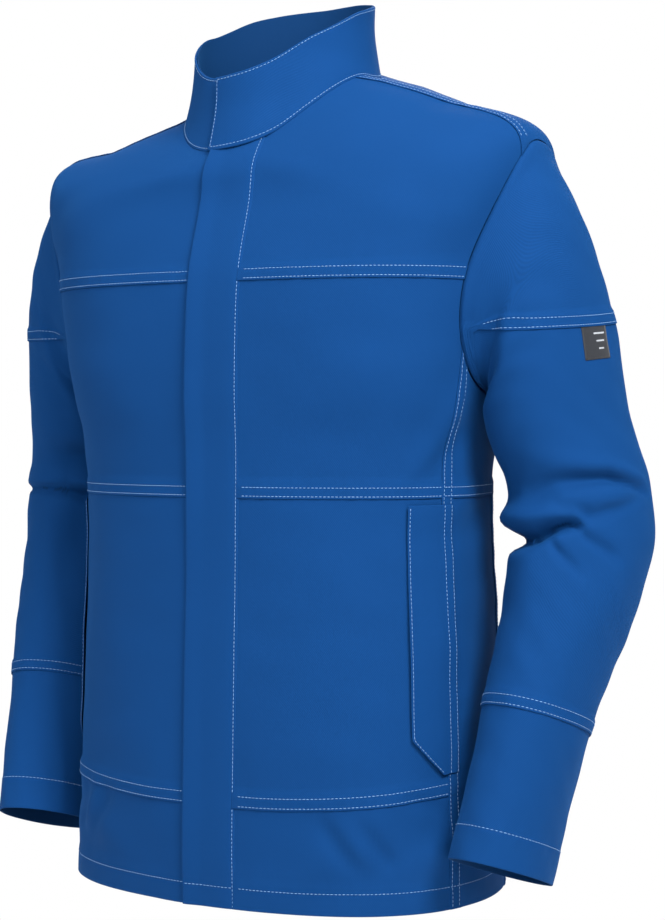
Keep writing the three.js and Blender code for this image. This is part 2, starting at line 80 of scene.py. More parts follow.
# Seams: degrees round from the middle front, or ring numbers.
SIDE_SEAM = 71.0
BACK_SEAM = 180.0 - SIDE_SEAM
SHOULDER_SEAM = 78.0
BACK_YOKE_SEAM = 4.45
ARMHOLE_HALF_ANGLE = 24.0
ARMHOLE_LOW = 2.94
ARMHOLE_MIDDLE = (ARMHOLE_LOW + SHOULDER) / 2
ARMHOLE_REACH = (SHOULDER - ARMHOLE_LOW) / 2
UNDER = 11.0          # how far an edge runs on beneath its neighbour
PAST = -1.5           # how far a lapped edge lies past its seam
# The front opening: distances from the middle, towards the wearer's left.
PLACKET_REACH = 17.0  # the cover's free edge, the other way
PLACKET_SEAM = 34.0
PLACKET_STITCH = 31.5
PLACKET_END = 35.5
FLY_REACH = 11.0      # the fly strip's free edge, the other way
RIGHT_FRONT_EDGE = 15.0
UNDERLAP_EDGE = 16.0
UNDERLAP_BACK = 44.0
STUD_CENTRE, STUD_LOW, STUD_PITCH, STUD_COUNT = 8.0, 60.0, 108.0, 6
HEM_STITCH = 22.6     # the hem's row of stitches above the edge
# Sleeve rings below the armhole: centre x, y, height, lean and forward tilt in degrees, half width, half depth.
SLEEVE_RINGS = np.array([
    (240, 16, 521, 22, 0, 89, 69),
    (248, 23, 493, 34, 0, 71, 73),
    (252, 32, 463, 52, 0, 56.5, 76),
    (255, 41, 408, 76, 2, 50, 76),
    (263, 50, 346, 90, 6, 53, 71),
    (262, 30, 256, 93, 15, 50, 67),
    (251, -6, 160, 95, 19, 45, 62),
    (237, -50, 36, 95, 19, 41, 58),
])
FOREARM_RING, CUFF_RING = 7, 8
BODY_ROUND = 3.05     # cloth round the body for one degree
SLEEVE_ROUND = 62.0   # the sleeve's mean radius, which turns its angle into cloth
OUTSEAM = 0.6         # the angle, in radians, of the line down the sleeve along which its length is measured
COLLAR_HEIGHT = 66.0
COLLAR_END = 11.0
COLLAR_WRAP = 9.0     # how far the overlapping end runs on past the patch


def spline(values, s):
    """Catmull-Rom through rows of values at whole-number places, for an array of places s."""
    values = np.asarray(values, float)
    padded = np.concatenate([[2 * values[0] - values[1]], values, [2 * values[-1] - values[-2]]])
    s = np.asarray(s, float)
    i = np.clip(np.floor(s).astype(int), 0, len(values) - 2)
    t = (s - i)[..., None] if values.ndim > 1 else s - i
    p, q, r, w = padded[i], padded[i + 1], padded[i + 2], padded[i + 3]
    return 0.5 * (2 * q + (r - p) * t + (2 * p - 5 * q + 4 * r - w) * t**2 + (3 * q - p - 3 * r + w) * t**3)


def smooth(edge0, edge1, x):
    t = np.clip((x - edge0) / (edge1 - edge0), 0, 1)
    return t * t * (3 - 2 * t)


def body_point(u, s):
    """Point of the body's surface at angle u, in degrees from the middle front, on ring s."""
    u, s = np.broadcast_arrays(np.asarray(u, float), np.asarray(s, float))
    half, front, back, centre, z_front, z_side, z_back, square = np.moveaxis(spline(RINGS, s), -1, 0)
    a = np.radians(u)
    across = (np.sin(a) + square * np.sin(3 * a)) / (1 - square)
    ahead = (np.cos(a) - square * np.cos(3 * a)) / (1 - square)
    depth = np.where(ahead > 0, front, back)
    z_end = np.where(ahead > 0, z_front, z_back)
    z = z_end + (z_side - z_end) * np.abs(np.sin(a)) ** 2.4
    return np.stack([half * across, centre - depth * ahead, z], -1)


def angle_at(x, s):
    """The angle on ring s, on the front, whose x is the one asked for."""
    x, s = np.broadcast_arrays(np.asarray(x, float), np.asarray(s, float))
    low, high = np.full(x.shape, -80.0), np.full(x.shape, 80.0)
    for _ in range(36):
        mid = (low + high) / 2
        less = body_point(mid, s)[..., 0] < x
        low, high = np.where(less, mid, low), np.where(less, high, mid)
    return low


def armhole_angle(s, back=False):
    """The armhole's angle on ring s, on its front or back edge."""
    reach = np.sqrt(np.clip(1 - ((s - ARMHOLE_MIDDLE) / ARMHOLE_REACH) ** 2, 0, 1))
    return 90 + (1 if back else -1) * ARMHOLE_HALF_ANGLE * reach


def armhole_ring(u, top=False):
    """The armhole's ring number at angle u, on its lower or upper edge."""
    reach = np.sqrt(np.clip(1 - ((u - 90) / ARMHOLE_HALF_ANGLE) ** 2, 0, 1))
    return ARMHOLE_MIDDLE + (1 if top else -1) * ARMHOLE_REACH * reach


def armhole_point(phi):
    u = 90 - ARMHOLE_HALF_ANGLE * np.sin(phi)
    return body_point(u, ARMHOLE_MIDDLE + ARMHOLE_REACH * np.cos(phi))


def sleeve_point(phi, k):
    """Point of the left sleeve at angle phi, 0 outside and 90 degrees in front, on ring k, 0 at the armhole."""
    phi, k = np.broadcast_arrays(np.asarray(phi, float), np.asarray(k, float))
    rings = [armhole_point(phi)]
    for x, y, z, lean, ahead, wide, deep in SLEEVE_RINGS:
        lean, ahead = math.radians(lean), math.radians(ahead)
        ca, sa = math.cos(ahead), math.sin(ahead)
        out = np.array([math.sin(lean), math.cos(lean) * sa, math.cos(lean) * ca])
        front = np.array([0, -ca, sa])
        rings.append(np.array([x, y, z]) + wide * np.cos(phi)[..., None] * out
                     + deep * np.sin(phi)[..., None] * front)
    rings = np.stack(rings)
    i = np.clip(np.floor(k).astype(int), 0, CUFF_RING - 1)
    t = (k - i)[..., None]
    first, last = 2 * rings[0] - rings[1], 2 * rings[-1] - rings[-2]
    padded = np.concatenate([[first], rings, [last]])

    def pick(j):
        return np.take_along_axis(padded, (i + j)[None, ..., None], 0)[0]

    p, q, r, w = pick(0), pick(1), pick(2), pick(3)
    return 0.5 * (2 * q + (r - p) * t + (2 * p - 5 * q + 4 * r - w) * t**2 + (3 * q - p - 3 * r + w) * t**3)


def collar_point(u, t):
    """Point of the collar's outer face at angle u, t of the way up from the neck seam."""
    u, t = np.broadcast_arrays(np.asarray(u, float), np.asarray(t, float))
    a = np.radians(u)
    base = body_point(u, np.full(u.shape, float(NECK)))
    depth = np.where(np.cos(a) < 0, 82.0, 84.0)
    top = np.stack([80 * np.sin(a), -8 - depth * np.cos(a), base[..., 2] + COLLAR_HEIGHT], -1)
    out = np.stack([np.sin(a), -np.cos(a), np.zeros_like(a)], -1)
    return base + (top - base) * t[..., None] - out * (2.5 * np.sin(np.pi * np.clip(t, 0, 1)))[..., None]


class Surface:
    """A two-way surface with its normals: body, sleeve or collar."""

    def __init__(self, point, step_a, step_b, low_b, high_b):
        self.point, self.step_a, self.step_b, self.low_b, self.high_b = point, step_a, step_b, low_b, high_b

    def slopes(self, a, b):
        da = self.point(a + self.step_a, b) - self.point(a - self.step_a, b)
        up = np.minimum(b + self.step_b, self.high_b)
        down = np.maximum(b - self.step_b, self.low_b)
        db = self.point(a, up) - self.point(a, down)
        return da / (2 * self.step_a), db / (up - down)[..., None]

    def normal(self, a, b):
        da, db = self.slopes(a, b)
        n = np.cross(da, db)
        return n / np.maximum(np.linalg.norm(n, axis=-1, keepdims=True), 1e-9)

    def shift(self, a, b, mm_a=0.0, mm_b=0.0):
        """Moves a place by millimetres along each way of the surface."""
        da, db = self.slopes(a, b)
        return (a + mm_a / np.linalg.norm(da, axis=-1), b + mm_b / np.linalg.norm(db, axis=-1))


BODY = Surface(body_point, 0.4, 0.01, HEM, NECK)
SLEEVE = Surface(sleeve_point, 0.01, 0.01, 0, CUFF_RING)
COLLAR = Surface(collar_point, 0.5, 0.01, -0.1, 1)


# ---------------------------------------------------------------- creases in the cloth
def waves(x, y, seed, length, count=7):
    """A smooth uneven field of about unit height: a sum of waves whose directions and lengths vary."""
    rng = np.random.default_rng(seed)
    total = np.zeros(np.broadcast(x, y).shape)
    for _ in range(count):
        angle, phase, scale = rng.uniform(0, 2 * math.pi), rng.uniform(0, 2 * math.pi), rng.uniform(0.6, 1.6)
        total += np.sin((x * math.cos(angle) + y * math.sin(angle)) * 2 * math.pi / (length * scale) + phase)
    return total / math.sqrt(count)


def crease(x, y, place, heading, length, width, depth, bow):
    """A long soft fold at a place: heading is in degrees from the x way, bow bends it, a valley's depth is below 0."""
    c, s = math.cos(math.radians(heading)), math.sin(math.radians(heading))
    dx, dy = x - place[0], y - place[1]
    along, across = dx * c + dy * s, -dx * s + dy * c
    across = across - bow * (along / length) ** 2
    return depth * np.exp(-(along / length) ** 4) * np.exp(-(across / width) ** 2)


# Body creases: x is the distance round from the middle front and y the height over the hem.
BODY_CREASES = [
    ((215, 420), 62, 95, 16, 3.2, 8), ((196, 372), 40, 70, 13, -2.4, -6), ((150, 455), 12, 90, 26, 2.2, 10),
    ((232, 300), 80, 110, 20, 2.6, 0), ((120, 60), 38, 70, 15, 1.8, 6), ((165, 48), 30, 70, 14, -1.6, 4),
    ((205, 55), 24, 60, 14, 1.7, 4), ((90, 190), 70, 150, 34, 1.6, 12), ((160, 220), 100, 130, 26, -1.4, 8),
    ((95, 600), -28, 70, 18, 1.8, 8), ((150, 575), -55, 60, 18, -1.8, 6), ((240, 150), 88, 120, 22, 2.2, 0),
    ((70, 400), 84, 120, 30, 1.2, 6), ((265, 330), 20, 60, 16, -2.2, 6), ((104, 60), -55, 26, 8, -3.4, 2),
    ((138, 58), -49, 24, 8, -3.4, 2), ((121, 60), -52, 26, 9, 2.0, 2), ((190, 92), -20, 26, 7, -1.6, 0),
]
# Sleeve creases: x is the distance round from the outside towards the front, y the distance from the armhole.
SLEEVE_CREASES = [
    ((30, 190), 84, 90, 26, -1.8, 8), ((150, 150), 60, 60, 14, -3.0, 0), ((120, 130), 70, 70, 16, 2.6, 0),
    ((70, 560), 80, 110, 22, 1.8, 6), ((-40, 480), 70, 110, 26, -1.8, 6), ((-20, 230), 80, 110, 28, 1.6, 0),
    ((60, 452), 66, 110, 20, 2.0, 8), ((-60, 318), 18, 60, 18, 2.4, -10), ((-95, 352), 34, 50, 14, -2.6, -8),
]
# Sharp folds at the elbows, as rows of x, y, depth and width, and the rounder swells beside them, as place, width,
# height and how far they stand out. The left sleeve is bent more than the right one.
LEFT_FOLDS = [
    [(-14, 296, 0, 5), (-3, 290, 5, 4), (16, 285, 8, 4.5), (32, 282, 8.5, 5), (61, 285, 7.5, 7), (79, 288, 6, 9),
     (96, 293, 4.5, 11), (122, 305, 0, 13)],
    [(-8, 293, 0, 6), (21, 305, 3.0, 6), (51, 316, 3.6, 6), (77, 313, 2.4, 6), (92, 308, 0, 7)],
    [(57, 327, 0, 4), (62, 326, 9, 4), (69, 325, 13, 4.5), (80, 328, 15, 5.5), (95, 334, 17, 7),
     (110, 340, 18, 8), (135, 342, 19, 8), (170, 340, 16, 8), (205, 336, 5, 10), (235, 330, 0, 10)],
    [(16, 353, 0, 7), (30, 346, 3.4, 6), (56, 335, 4.0, 5), (68, 329, 0, 6)],
    [(50, 372, 0, 8), (63, 363, 3.2, 7), (82, 350, 4.2, 6), (94, 341, 0, 7)],
]
LEFT_SWELLS = [((150, 150), 55, 80, 6.0), ((140, 212), 42, 88, 9.0), ((140, 318), 26, 14, 5.0),
               ((35, 300), 34, 9, 2.2), ((60, 262), 50, 20, 2.0), ((112, 372), 30, 24, 2.5),
               ((-34, 330), 60, 85, 11.0)]
RIGHT_FOLDS = [
    [(14, 301, 0, 4), (32, 302, 3.0, 3), (51, 302, 4.0, 3), (93, 303, 6, 3.5), (124, 305, 9, 5), (141, 308, 12, 7),
     (180, 312, 10, 9), (220, 312, 0, 9)],
]
RIGHT_SWELLS = [((146, 266), 34, 19, -11.0), ((146, 348), 30, 36, -11.0), ((60, 288), 40, 9, 2.4),
                ((60, 322), 46, 14, 1.6)]


def fold(x, y, path):
    """A sharp fold along a path, with a soft swelling on its upper side."""
    places = [row[0] for row in path]
    level, depth, width = (np.interp(x, places, [row[i] for row in path]) for i in (1, 2, 3))
    d = y - level
    return depth * (0.35 * np.exp(-((d + 2.1 * width) / (1.5 * width)) ** 2) - np.exp(-(d / width) ** 2))


def swell(x, y, place, wide, tall, height):
    """A round rise of the cloth, or a hollow where its height is below 0."""
    return height * np.exp(-((x - place[0]) / wide) ** 2 - ((y - place[1]) / tall) ** 2)


def body_relief(u, s, points, amount):
    """How far the body's cloth stands off its even shape, in mm."""
    x = np.abs(((u + 180) % 360) - 180) * BODY_ROUND
    y = points[..., 2]
    side = np.where(((u + 180) % 360) < 180, 17.0, 0.0)
    total = 0.9 * waves(x + 3 * side, y * 0.7, 11, 150) + 0.3 * waves(x + side, y, 12, 52)
    for place, heading, length, width, depth, bow in BODY_CREASES:
        total = total + crease(x, y - side * 0.5, place, heading, length, width, depth, bow)
    hold = smooth(0, 26, x - 18) * (1 - 0.6 * smooth(600, 690, y))
    return amount * total * hold


def sleeve_relief(phi, down, amount, side):
    """How far a sleeve's cloth stands off its even shape, down being the distance from the armhole."""
    wrapped = (phi + math.pi) % (2 * math.pi) - math.pi
    x = wrapped * SLEEVE_ROUND
    full_turn = 2 * math.pi * SLEEVE_ROUND
    turn = 0.35 if side < 0 else 0.0
    total = (0.8 * waves(SLEEVE_ROUND * np.cos(phi + turn), down * 0.8 + 40 * np.sin(phi), 21, 120)
             + 0.35 * waves(SLEEVE_ROUND * np.cos(phi), down + 50 * np.sin(phi + turn), 22, 45))
    for place, heading, length, width, depth, bow in SLEEVE_CREASES:
        moved = (place[0] + 14 * turn, place[1] + 16 * turn)
        for wrap in (-1, 0, 1):
            total = total + crease(x + wrap * full_turn, down, moved, heading, length, width, depth, bow)
    round_x = np.where(x < -80, x + full_turn, x)
    for path in LEFT_FOLDS if side > 0 else RIGHT_FOLDS:
        total = total + fold(round_x, down, path)
    for place, wide, tall, height in LEFT_SWELLS if side > 0 else RIGHT_SWELLS:
        total = total + swell(round_x, down, place, wide, tall, height)
    return amount * total * smooth(0, 25, down)


# ---------------------------------------------------------------- settings
class JacketSizes(bpy.types.PropertyGroup):
    cloth: FloatProperty(name="Cloth", description="Thickness of one layer of cloth",
                         default=0.0009, min=0.0004, max=0.002, subtype="DISTANCE", unit="LENGTH")
    lap: FloatProperty(name="Seam lap", description="Width of cloth that is folded and sewn at a seam",
                       default=0.0115, min=0.006, max=0.02, subtype="DISTANCE", unit="LENGTH")
    lap_height: FloatProperty(name="Seam height", description="How far a felled seam stands over the cloth",
                              default=0.0012, min=0.0006, max=0.003, subtype="DISTANCE", unit="LENGTH")
    grid: FloatProperty(name="Grid", description="Spacing of the points that shape the cloth",
                        default=0.0042, min=0.002, max=0.02, subtype="DISTANCE", unit="LENGTH")
    stitch: FloatProperty(name="Stitch", description="Length of one visible stitch",
                          default=0.0023, min=0.001, max=0.005, subtype="DISTANCE", unit="LENGTH")
    pitch: FloatProperty(name="Stitch pitch", description="From one stitch to the next",
                         default=0.0034, min=0.0015, max=0.006, subtype="DISTANCE", unit="LENGTH")
    thread: FloatProperty(name="Thread", description="Thickness of the thread",
                          default=0.00048, min=0.0002, max=0.002, subtype="DISTANCE", unit="LENGTH")
    row_gap: FloatProperty(name="Row gap", description="Between the two rows of a twin-needle seam",
                           default=0.0078, min=0.003, max=0.012, subtype="DISTANCE", unit="LENGTH")
    creases: FloatProperty(name="Creases", description="Strength of the folds in the cloth",
                           default=1.0, min=0.0, max=2.0, subtype="FACTOR")
    label_bars: IntProperty(name="Label bars", description="Woven bars on the sleeve label",
                            default=3, min=0, max=6)


class JacketColours(bpy.types.PropertyGroup):
    cloth: FloatVectorProperty(name="Cloth", description="Royal blue twill",
                               subtype="COLOR", size=3, min=0, max=1, default=(0.0020, 0.0335, 0.1300))
    inside: FloatVectorProperty(name="Inside", description="Wrong side of the cloth",
                                subtype="COLOR", size=3, min=0, max=1, default=(0.0018, 0.0240, 0.0860))
    thread: FloatVectorProperty(name="Thread", description="Pale topstitching thread",
                                subtype="COLOR", size=3, min=0, max=1, default=(0.15, 0.28, 0.50))
    label: FloatVectorProperty(name="Label", description="Dark woven label",
                               subtype="COLOR", size=3, min=0, max=1, default=(0.009, 0.011, 0.016))
    metal: FloatVectorProperty(name="Press studs", description="Nickelled metal",
                               subtype="COLOR", size=3, min=0, max=1, default=(0.55, 0.56, 0.58))
    patch: FloatVectorProperty(name="Fastening", description="Hook and loop pile",
                               subtype="COLOR", size=3, min=0, max=1, default=(0.009, 0.034, 0.115))


class StageSettings(bpy.types.PropertyGroup):
    azimuth: FloatProperty(name="Azimuth", description="Camera's angle round from the front, in degrees",
                           default=30.0, min=-180, max=180)
    distance: FloatProperty(name="Distance", description="Camera to the jacket's middle",
                            default=1.9, min=0.5, max=10, subtype="DISTANCE", unit="LENGTH")
    lens: FloatProperty(name="Lens", description="Focal length",
                        default=81.0, min=20, max=300, subtype="DISTANCE_CAMERA", unit="CAMERA")
    drop: FloatProperty(name="Floor drop", description="Floor below the hem",
                        default=0.16, min=0.0, max=2, subtype="DISTANCE", unit="LENGTH")


def sizes():
    return bpy.context.scene.jacket_sizes


def colours():
    return bpy.context.scene.jacket_colours


# ---------------------------------------------------------------- shader expressions
class Socket:
    """A node's output, with the arithmetic that adds Math nodes."""

    def __init__(self, shader, link):
        self.shader, self.link = shader, link

    def _math(self, operation, *values):
        return self.shader.node("ShaderNodeMath", {"operation": operation}, {i: v for i, v in enumerate(values)})

    def __add__(self, other):
        return self._math("ADD", self, other)

    def __sub__(self, other):
        return self._math("SUBTRACT", self, other)

    def __rsub__(self, other):
        return self._math("SUBTRACT", other, self)

    def __mul__(self, other):
        return self._math("MULTIPLY", self, other)

    __radd__, __rmul__ = __add__, __mul__

    def sine(self):
        return self._math("SINE", self)

    def absolute(self):
        return self._math("ABSOLUTE", self)

    def over(self, other):
        return self._math("GREATER_THAN", self, other)


class Shader:
    """One Principled material, built from expressions."""

    def __init__(self, name, **constants):
        self.material = bpy.data.materials.new(name)
        self.material.use_nodes = True
        self.tree = self.material.node_tree
        self.bsdf = self.tree.nodes["Principled BSDF"]
        for socket, value in constants.items():
            self.bsdf.inputs[socket.replace("_", " ")].default_value = value

    def node(self, kind, settings=None, inputs=None, output=0):
        made = self.tree.nodes.new(kind)
        for key, value in (settings or {}).items():
            setattr(made, key, value)
        for key, value in (inputs or {}).items():
            if isinstance(value, Socket):
                self.tree.links.new(value.link, made.inputs[key])
            else:
                made.inputs[key].default_value = value
        return Socket(self, made.outputs[output])

    def uv(self):
        return self.node("ShaderNodeUVMap", {"uv_map": "cloth"})

    def place(self):
        return self.node("ShaderNodeTexCoord", output="Object")

    def axes(self, vector):
        made = self.tree.nodes.new("ShaderNodeSeparateXYZ")
        self.tree.links.new(vector.link, made.inputs[0])
        return [Socket(self, made.outputs[i]) for i in range(3)]

    def noise(self, vector, scale, detail=2.0, roughness=0.5):
        return self.node("ShaderNodeTexNoise", {"noise_dimensions": "3D"},
                         {"Vector": vector, "Scale": scale, "Detail": detail, "Roughness": roughness})

    def mix(self, factor, a, b):
        return self.node("ShaderNodeMix", {"data_type": "RGBA"}, {"Factor": factor, 6: a, 7: b}, 2)

    def bump(self, height, strength, distance):
        return self.node("ShaderNodeBump", None, {"Height": height, "Strength": strength, "Distance": distance})

    def feed(self, **sockets):
        for key, value in sockets.items():
            self.tree.links.new(value.link, self.bsdf.inputs[key.replace("_", " ")])
        return self.material


def rgba(colour, gain=1.0):
    return tuple(min(1.0, c * gain) for c in colour) + (1.0,)


def twill_material(name, colour, gain=1.0):
    """Close diagonal twill with a faint bloom of lint, uneven dye and flattened yarns."""
    m = Shader(name, Roughness=0.86, IOR=1.46, Sheen_Weight=0.10, Sheen_Roughness=0.5, Specular_IOR_Level=0.08)
    m.bsdf.inputs["Sheen Tint"].default_value = (0.05, 0.35, 1.0, 1.0)
    uv = m.uv()
    x, y, _ = m.axes(uv)
    diagonal = ((x * 0.8 + y) * (2 * math.pi / 0.0013)).sine()
    warp = (x * (2 * math.pi / 0.00075)).sine()
    weave = diagonal * 0.65 + warp * 0.35
    dye = m.noise(m.place(), 9.0, 3.0)
    lint = m.noise(m.place(), 420.0, 2.0, 0.6)
    tone = m.mix(dye * 0.9 + lint * 0.35 - 0.15, rgba(colour, 0.88 * gain), rgba(colour, 1.12 * gain))
    thread_tone = m.mix(weave * 0.5 + 0.5, rgba(colour, 0.80 * gain), rgba(colour, 1.14 * gain))
    shade = m.mix(0.5, tone, thread_tone)
    slub = m.noise(m.place(), 150.0, 3.0, 0.65)
    normal = m.bump(weave * 0.5 + slub * 0.5, 0.35, 0.00035)
    return m.feed(Base_Color=shade, Roughness=lint * 0.12 + 0.79, Normal=normal)


def thread_material(name, colour):
    m = Shader(name, Roughness=0.62, Sheen_Weight=0.15, Specular_IOR_Level=0.35)
    x, y, z = m.axes(m.place())
    twist = ((x + y + z) * (2 * math.pi / 0.0009)).sine()
    tone = m.mix(twist * 0.5 + 0.5, rgba(colour, 0.82), rgba(colour, 1.1))
    return m.feed(Base_Color=tone, Normal=m.bump(twist, 0.4, 0.0001))


def metal_material(name, colour):
    m = Shader(name, Metallic=1.0, Roughness=0.32)
    scuff = m.noise(m.place(), 900.0, 3.0, 0.6)
    tone = m.mix(scuff, rgba(colour, 0.85), rgba(colour, 1.1))
    return m.feed(Base_Color=tone, Roughness=scuff * 0.25 + 0.2, Normal=m.bump(scuff, 0.15, 0.0001))


def pile_material(name, colour):
    m = Shader(name, Roughness=0.95, Sheen_Weight=0.4, Specular_IOR_Level=0.15)
    loops = m.noise(m.place(), 1300.0, 2.0, 0.7)
    tone = m.mix(loops, rgba(colour, 0.55), rgba(colour, 1.5))
    return m.feed(Base_Color=tone, Normal=m.bump(loops, 0.9, 0.0007))


def label_material(name, colour):
    """Dark woven satin with plain pale bars across it."""
    m = Shader(name, Roughness=0.6, Sheen_Weight=0.1, Specular_IOR_Level=0.3)
    x, y, _ = m.axes(m.uv())
    across, down = (x - 0.013).absolute(), y
    ribs = (y * (2 * math.pi / 0.0006)).sine()
    marks = None
    for i in range(sizes().label_bars):
        middle = 0.007 + 0.0065 * i
        half = 0.0085 - 0.0022 * i
        bar = (1 - (down - middle).absolute().over(0.0007)) * (1 - across.over(half))
        marks = bar if marks is None else marks + bar
    base = m.mix(ribs * 0.5 + 0.5, rgba(colour, 0.8), rgba(colour, 1.3))
    shade = base if marks is None else m.mix(marks, base, (0.32, 0.34, 0.37, 1))
    return m.feed(Base_Color=shade, Normal=m.bump(ribs, 0.3, 0.0002))


MATERIALS = {}


def material(kind):
    """The jacket's materials, each made once."""
    if kind not in MATERIALS:
        c = colours()
        makers = {
            "cloth": lambda: twill_material("royal_blue_twill", c.cloth),
            "lining": lambda: twill_material("twill_wrong_side", c.inside),
            "thread": lambda: thread_material("pale_thread", c.thread),
            "metal": lambda: metal_material("nickelled_stud", c.metal),
            "patch": lambda: pile_material("fastening_pile", c.patch),
            "label": lambda: label_material("woven_label", c.label),
        }
        MATERIALS[kind] = makers[kind]()
    return MATERIALS[kind]


# ---------------------------------------------------------------- cloth pieces
CLOTH_PIECES = {}


def to_row(points):
    """Pattern millimetres to the frame's metres."""
    return (points - np.array([0.0, 0.0, NECK_HEIGHT])) * MM


# How the shoulders lean: the distance from the middle towards the left, and how far the cloth rises there.
SHOULDER_LEAN = [(-250, -8), (-180, -15), (-100, -14), (-50, -9), (0, 0), (60, 9), (110, 11), (150, 8), (250, 0)]
# How the collar's upper edge waves: degrees round from the front's middle towards the left, and mm up.
COLLAR_RIM = [(0, 5), (20, -3), (35, -10), (50, -15), (67, -16), (80, -12), (92, -5), (105, 0), (125, -2),
              (150, -4), (172, -4), (193, 1), (215, 10), (230, 15), (245, 16), (265, 8.5), (285, 0), (300, 0),
              (330, 4), (345, 8), (360, 5)]


def settle(points):
    """The worn jacket's list: its left shoulder and side of the collar sit a little higher than its right."""
    x = points[..., 0] / MM
    height = points[..., 2] / MM + NECK_HEIGHT
    rise = smooth(600, 695, height) * np.interp(x, *zip(*SHOULDER_LEAN))
    turn = np.degrees(np.arctan2(x, -8 - points[..., 1] / MM))
    rim = sum(np.interp((turn + shift) % 360, *zip(*COLLAR_RIM)) for shift in (-12, -6, 0, 6, 12)) / 5
    rim = rim * smooth(715, 795, height)
    moved = points.copy()
    moved[..., 2] += (rise + rim) * MM
    return moved


def new_object(name, vertices, faces, kind, uv=None, second=None):
    """An object at the origin from points in metres. second is (material, its first face, the face after its last)."""
    mesh = bpy.data.meshes.new(name)
    mesh.from_pydata(vertices.tolist(), [], faces)
    mesh.polygons.foreach_set("use_smooth", np.ones(len(faces), bool))
    mesh.materials.append(material(kind))
    if second is not None:
        mesh.materials.append(material(second[0]))
        index = np.zeros(len(faces), np.int32)
        index[second[1]:second[2]] = 1
        mesh.polygons.foreach_set("material_index", index)
    if uv is not None:
        loops = np.empty(len(mesh.loops), np.int32)
        mesh.loops.foreach_get("vertex_index", loops)
        mesh.uv_layers.new(name="cloth").data.foreach_set("uv", uv[loops].astype(np.float32).ravel())
    mesh.update()
    obj = bpy.data.objects.new(name, mesh)
    bpy.context.scene.collection.objects.link(obj)
    return obj


def even_places(point_of, low, high, grid):
    """Values from low to high, evenly apart along the line that point_of draws, with a few close to both ends."""
    dense = np.linspace(low, high, 400)
    line = point_of(dense)
    length = np.concatenate([[0], np.cumsum(np.linalg.norm(np.diff(line, axis=0), axis=1))])
    total = length[-1]
    edge = [f for f in (0.35, 0.9, 1.8, 3.2) if f < total / 4]
    start, stop = (edge[-1], total - edge[-1]) if edge else (0, total)
    middle = np.linspace(start, stop, max(2, int(round((stop - start) / grid)) + 1))
    wanted = np.concatenate([[0], edge[:-1], middle, [total - e for e in reversed(edge[:-1])], [total]])
    return np.interp(wanted, length, dense)


def edge_distances(points):
    """Distance in mm from each point of a grid to its left, right, bottom and top edge, along the grid."""
    across = np.linalg.norm(np.diff(points, axis=1), axis=-1)
    up = np.linalg.norm(np.diff(points, axis=0), axis=-1)
    left = np.concatenate([np.zeros((points.shape[0], 1)), np.cumsum(across, 1)], 1)
    low = np.concatenate([np.zeros((1, points.shape[1])), np.cumsum(up, 0)], 0)
    return {"left": left, "right": left[:, -1:] - left, "low": low, "high": low[-1:] - low}


def shell_faces(rows, columns, wrapped):
    """Faces of a closed shell from two grids of points, the outer one first."""
    count = rows * columns
    index = np.arange(count).reshape(rows, columns)
    if wrapped:
        index = np.concatenate([index, index[:, :1]], 1)
    outer = np.stack([index[:-1, :-1], index[:-1, 1:], index[1:, 1:], index[1:, :-1]], -1).reshape(-1, 4)
    inner = outer[:, ::-1] + count
    rims = [np.stack([index[0, 1:], index[0, :-1], index[0, :-1] + count, index[0, 1:] + count], -1),
            np.stack([index[-1, :-1], index[-1, 1:], index[-1, 1:] + count, index[-1, :-1] + count], -1)]
    if not wrapped:
        rims += [np.stack([index[:-1, 0], index[1:, 0], index[1:, 0] + count, index[:-1, 0] + count], -1),
                 np.stack([index[1:, -1], index[:-1, -1], index[:-1, -1] + count, index[1:, -1] + count], -1)]
    return np.concatenate([outer, inner] + rims), len(outer)


